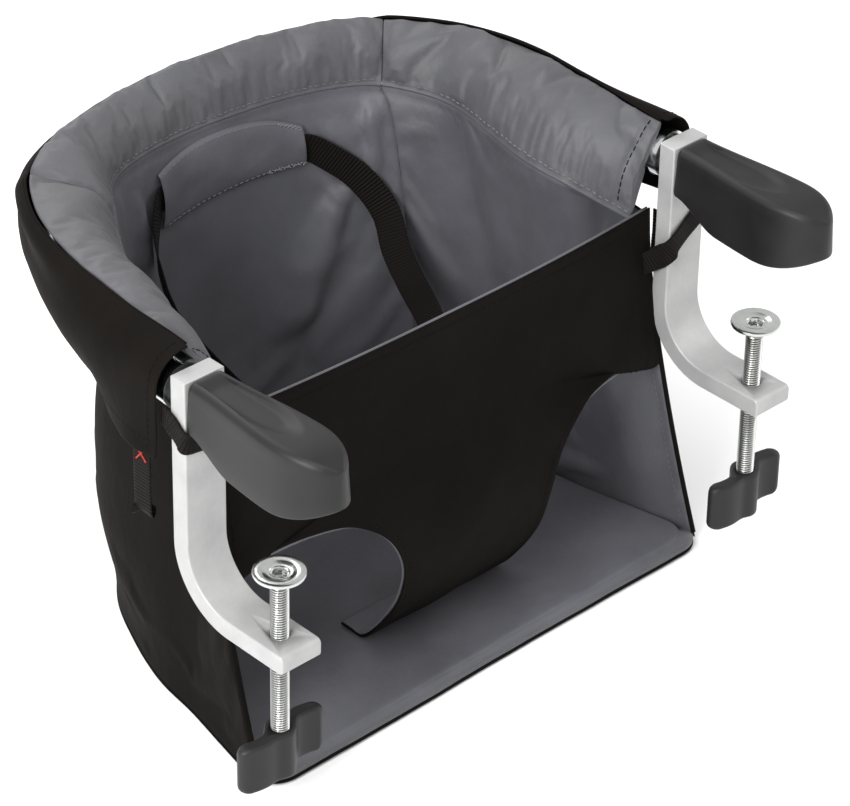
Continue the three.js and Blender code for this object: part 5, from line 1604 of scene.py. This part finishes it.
def arm_strap(side_name, side):
    """From the front panel's corner, over the front of the bar and round its outer side."""
    off = 0.35 + 0.65
    edge = BAR_W / 2 + off
    front_y = -(BAR_T + off)
    raw = [(-edge - 6.5, 3.2, -76.5), (-edge - 2.2, -4.5, -71), (-edge - 0.3, front_y + 1.8, -65),
           (-edge + 1.5, front_y, -62), (0, front_y, -53), (edge - 1.4, front_y, -43.5),
           (edge, front_y + 1.4, -42), (edge, -5, -37), (edge, off - 1.2, -31.5),
           (edge - 0.8, 4.4, -30.2), (edge - 1.3, 7.6, -30)]
    if side < 0:
        raise_by = [20, 20, 20, 20, 16, 9, 8.5, 7, 5, 4.5, 4.5]
        raw = [(x, y, z + up) for (x, y, z), up in zip(raw, raise_by)]
    raw = np.array(raw) * [side, 1, 1] + [side * ARM_X, 0, 0]
    path = spline(raw, 260)
    for k, part in enumerate((path[:132], path[130:])):
        ob = webbing(f"{side_name}_strap_{'ab'[k]}", part, (0, 0, 1), 13, 1.3, columns=7)
        dress(ob, WEB, None, [f"{side_name}_arm_strap"])
        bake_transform(ob)


for side_name, side in SIDES:
    arm_strap(side_name, side)


def pull_tab(side_name, side):
    """Webbing folded double under the cuff, closed by two crossed red stitches."""
    face = 0.78 * 21.5 - CLOTH - 0.35
    near, far = face - 0.65, face - 0.65 - 3.6
    top, foot = TUBE_Z - 37 + 6.5, TUBE_Z - 37 - 50 + 6.5
    raw = [(near, top), (near, mix(top, foot, 0.3)), (near + 0.1, mix(top, foot, 0.7)),
           (near - 0.1, foot + 3.4), (mix(near, far, 0.5), foot + 0.3), (far, foot + 3.6),
           (far + 0.2, mix(top, foot, 0.6)), (far, mix(top, foot, 0.35))]
    places = (22, 22, 22, 22, 24, 26.5, 26.5, 26.5) if side < 0 else (17.5,) * 8
    path = spline([((ARM_X + n) * side, y, z) for (n, z), y in zip(raw, places)], 160)
    ob = webbing(f"{side_name}_tab", path, (0, 1, 0), 13, 1.3, columns=7)
    dress(ob, WEB, "seat", [f"{side_name}_pull_tab"])
    middle = ((ARM_X + face + 0.25) * side, places[0], TUBE_Z - 43)
    strokes = (((-4.2, -3.4), (4.0, 3.8)), ((-3.4, 4.2), (3.6, -4.4)))
    for k, stroke in enumerate(strokes):
        line = np.array([(middle[0], middle[1] + a, middle[2] + b) for a, b in stroke])
        cord = sweep(resample(line, 60), round_section(0.5, 0.5, 6), (0.3, 0.6, 0.7))
        dress(tube_mesh(f"{side_name}_tab_tack_{k}", cord, True, 180), THREAD_RED, "seat",
              [f"{side_name}_tab_stitch"])


for side_name, side in SIDES:
    pull_tab(side_name, side)


# Buckle

def rounded_block(name, lo, hi, r):
    """A block between two corners with its edges rounded to a radius."""
    bm = bmesh.new()
    bmesh.ops.create_cube(bm, size=1)
    c, d = (np.array(lo) + hi) / 2, np.array(hi) - lo
    for v in bm.verts:
        v.co = Vector(((np.array(v.co) * d + c + SHIFT) * MM).tolist())
    bmesh.ops.bevel(bm, geom=bm.edges[:], offset=r * MM, segments=3, affect="EDGES", profile=0.5)
    me = bpy.data.meshes.new(name)
    bm.to_mesh(me)
    bm.free()
    me.shade_smooth()
    me.set_sharp_from_angle(angle=math.radians(40))
    ob = bpy.data.objects.new(name, me)
    bpy.context.scene.collection.objects.link(ob)
    return ob


BY, BZ = 24.0, -168.0
shell = rounded_block("buckle_shell", (0.35, BY - 4.2, BZ - 13), (34.35, BY + 4.2, BZ + 13), 2.2)
cut_with(shell, [rounded_block("mouth", (-3, BY - 2.15, BZ - 9.35), (19, BY + 2.15, BZ + 9.35), 0.6),
                 rounded_block("belt_slot", (27, BY - 6, BZ - 10.3), (30, BY + 6, BZ + 10.3), 0.7),
                 rounded_block("side_a", (6, BY - 2.4, BZ + 9.5), (20, BY + 2.4, BZ + 16), 0.7),
                 rounded_block("side_b", (6, BY - 2.4, BZ - 16), (20, BY + 2.4, BZ - 9.5), 0.7)])
dress(shell, PLASTIC, "seat", ["buckle_socket"])
grip = rounded_block("buckle_grip", (-12, BY - 3.2, BZ - 11.5), (0, BY + 3.2, BZ + 11.5), 1.4)
cut_with(grip, [rounded_block("grip_slot", (-9, BY - 6, BZ - 10.3), (-6.2, BY + 6, BZ + 10.3), 0.6)])
dress(grip, PLASTIC, "tongue", ["buckle_tongue"])
for tag, z0, z1 in (("mid", -2.6, 2.6), ("low", -9, -5.4), ("high", 5.4, 9)):
    prong = rounded_block(f"buckle_prong_{tag}", (-1, BY - 1.8, BZ + z0), (18, BY + 1.8, BZ + z1), 0.9)
    dress(prong, PLASTIC, "tongue", ["buckle_tongue"])


# Stage, light and camera

def stage_floor():
    n, r = 96, 6.0
    a = np.arange(n) * 2 * math.pi / n
    me = bpy.data.meshes.new("floor")
    me.from_pydata([(r * math.cos(t), r * math.sin(t), 0) for t in a], [], [list(range(n))])
    ob = bpy.data.objects.new("floor", me)
    bpy.context.scene.collection.objects.link(ob)
    m = Mat("floor_looks")
    tone = m.ramp(m.noise(m.coords("Object"), 3, 2), [(0.3, (0.90, 0.90, 0.90)), (0.7, (0.92, 0.92, 0.92))])
    ob.data.materials.append(m.out(tone, 0.9, None, spec=0.1))


stage_floor()
scene = bpy.context.scene
world = bpy.data.worlds.new("studio")
scene.world = world
world.use_nodes = True
world.node_tree.nodes["Background"].inputs[0].default_value = (1, 1, 1, 1)
world.node_tree.nodes["Background"].inputs[1].default_value = 0.78
scene.view_settings.view_transform = "Standard"
scene.view_settings.look = "None"


def area_light(name, place, target, size, power):
    """A rectangular lamp that shines at a target; places and sizes in metres, power in watts."""
    d = bpy.data.lights.new(name, "AREA")
    d.shape, d.size, d.size_y, d.energy = "RECTANGLE", size[0], size[1], power
    ob = bpy.data.objects.new(name, d)
    ob.location = place
    ob.rotation_euler = (Vector(target) - Vector(place)).to_track_quat("-Z", "Y").to_euler()
    scene.collection.objects.link(ob)


area_light("key", (-1.4, -0.35, 1.0), (0.05, 0, 0.14), (0.8, 0.8), 29)
area_light("top", (-0.4, -0.4, 1.8), (0, 0, 0.12), (1.0, 1.0), 11)
area_light("fill", (1.3, -0.7, 0.9), (0, 0, 0.12), (0.8, 0.8), 6)
area_light("back", (0.2, 1.3, 1.3), (0, 0, 0.15), (1.2, 0.6), 9)


def set_camera():
    """The photo's camera, as fitted: its angles in degrees, its focal length and optical centre
    in the photo's pixels, and its place in mm about the clamp bars."""
    az, el, roll = (math.radians(v) for v in (-43.86, 33.47, 1.11))
    f, cx, cy, tx, ty, dist = 3920.52, 424.05, 402.4, 11.12, 82.26, 2049.27
    wide, middle_x, middle_y = 850, 425, 403
    back = np.array([math.sin(az) * math.cos(el), -math.cos(az) * math.cos(el), math.sin(el)])
    fw = -back
    r = unit(np.cross(fw, [0, 0, 1]))
    u = np.cross(r, fw)
    c, s = math.cos(roll), math.sin(roll)
    r2, u2 = c * r + s * u, -s * r + c * u
    place = (-(tx * r2 + ty * u2 + dist * fw) + SHIFT) * MM
    cam = bpy.data.cameras.new("camera")
    cam.sensor_width, cam.lens = 36, f * 36 / wide
    cam.shift_x, cam.shift_y = (middle_x - cx) / wide, -(middle_y - cy) / wide
    cam.clip_start, cam.clip_end = 0.05, 40
    ob = bpy.data.objects.new("camera", cam)
    ob.matrix_world = Matrix(((r2[0], u2[0], -fw[0], place[0]), (r2[1], u2[1], -fw[1], place[1]),
                              (r2[2], u2[2], -fw[2], place[2]), (0, 0, 0, 1)))
    scene.collection.objects.link(ob)
    scene.camera = ob


set_camera()
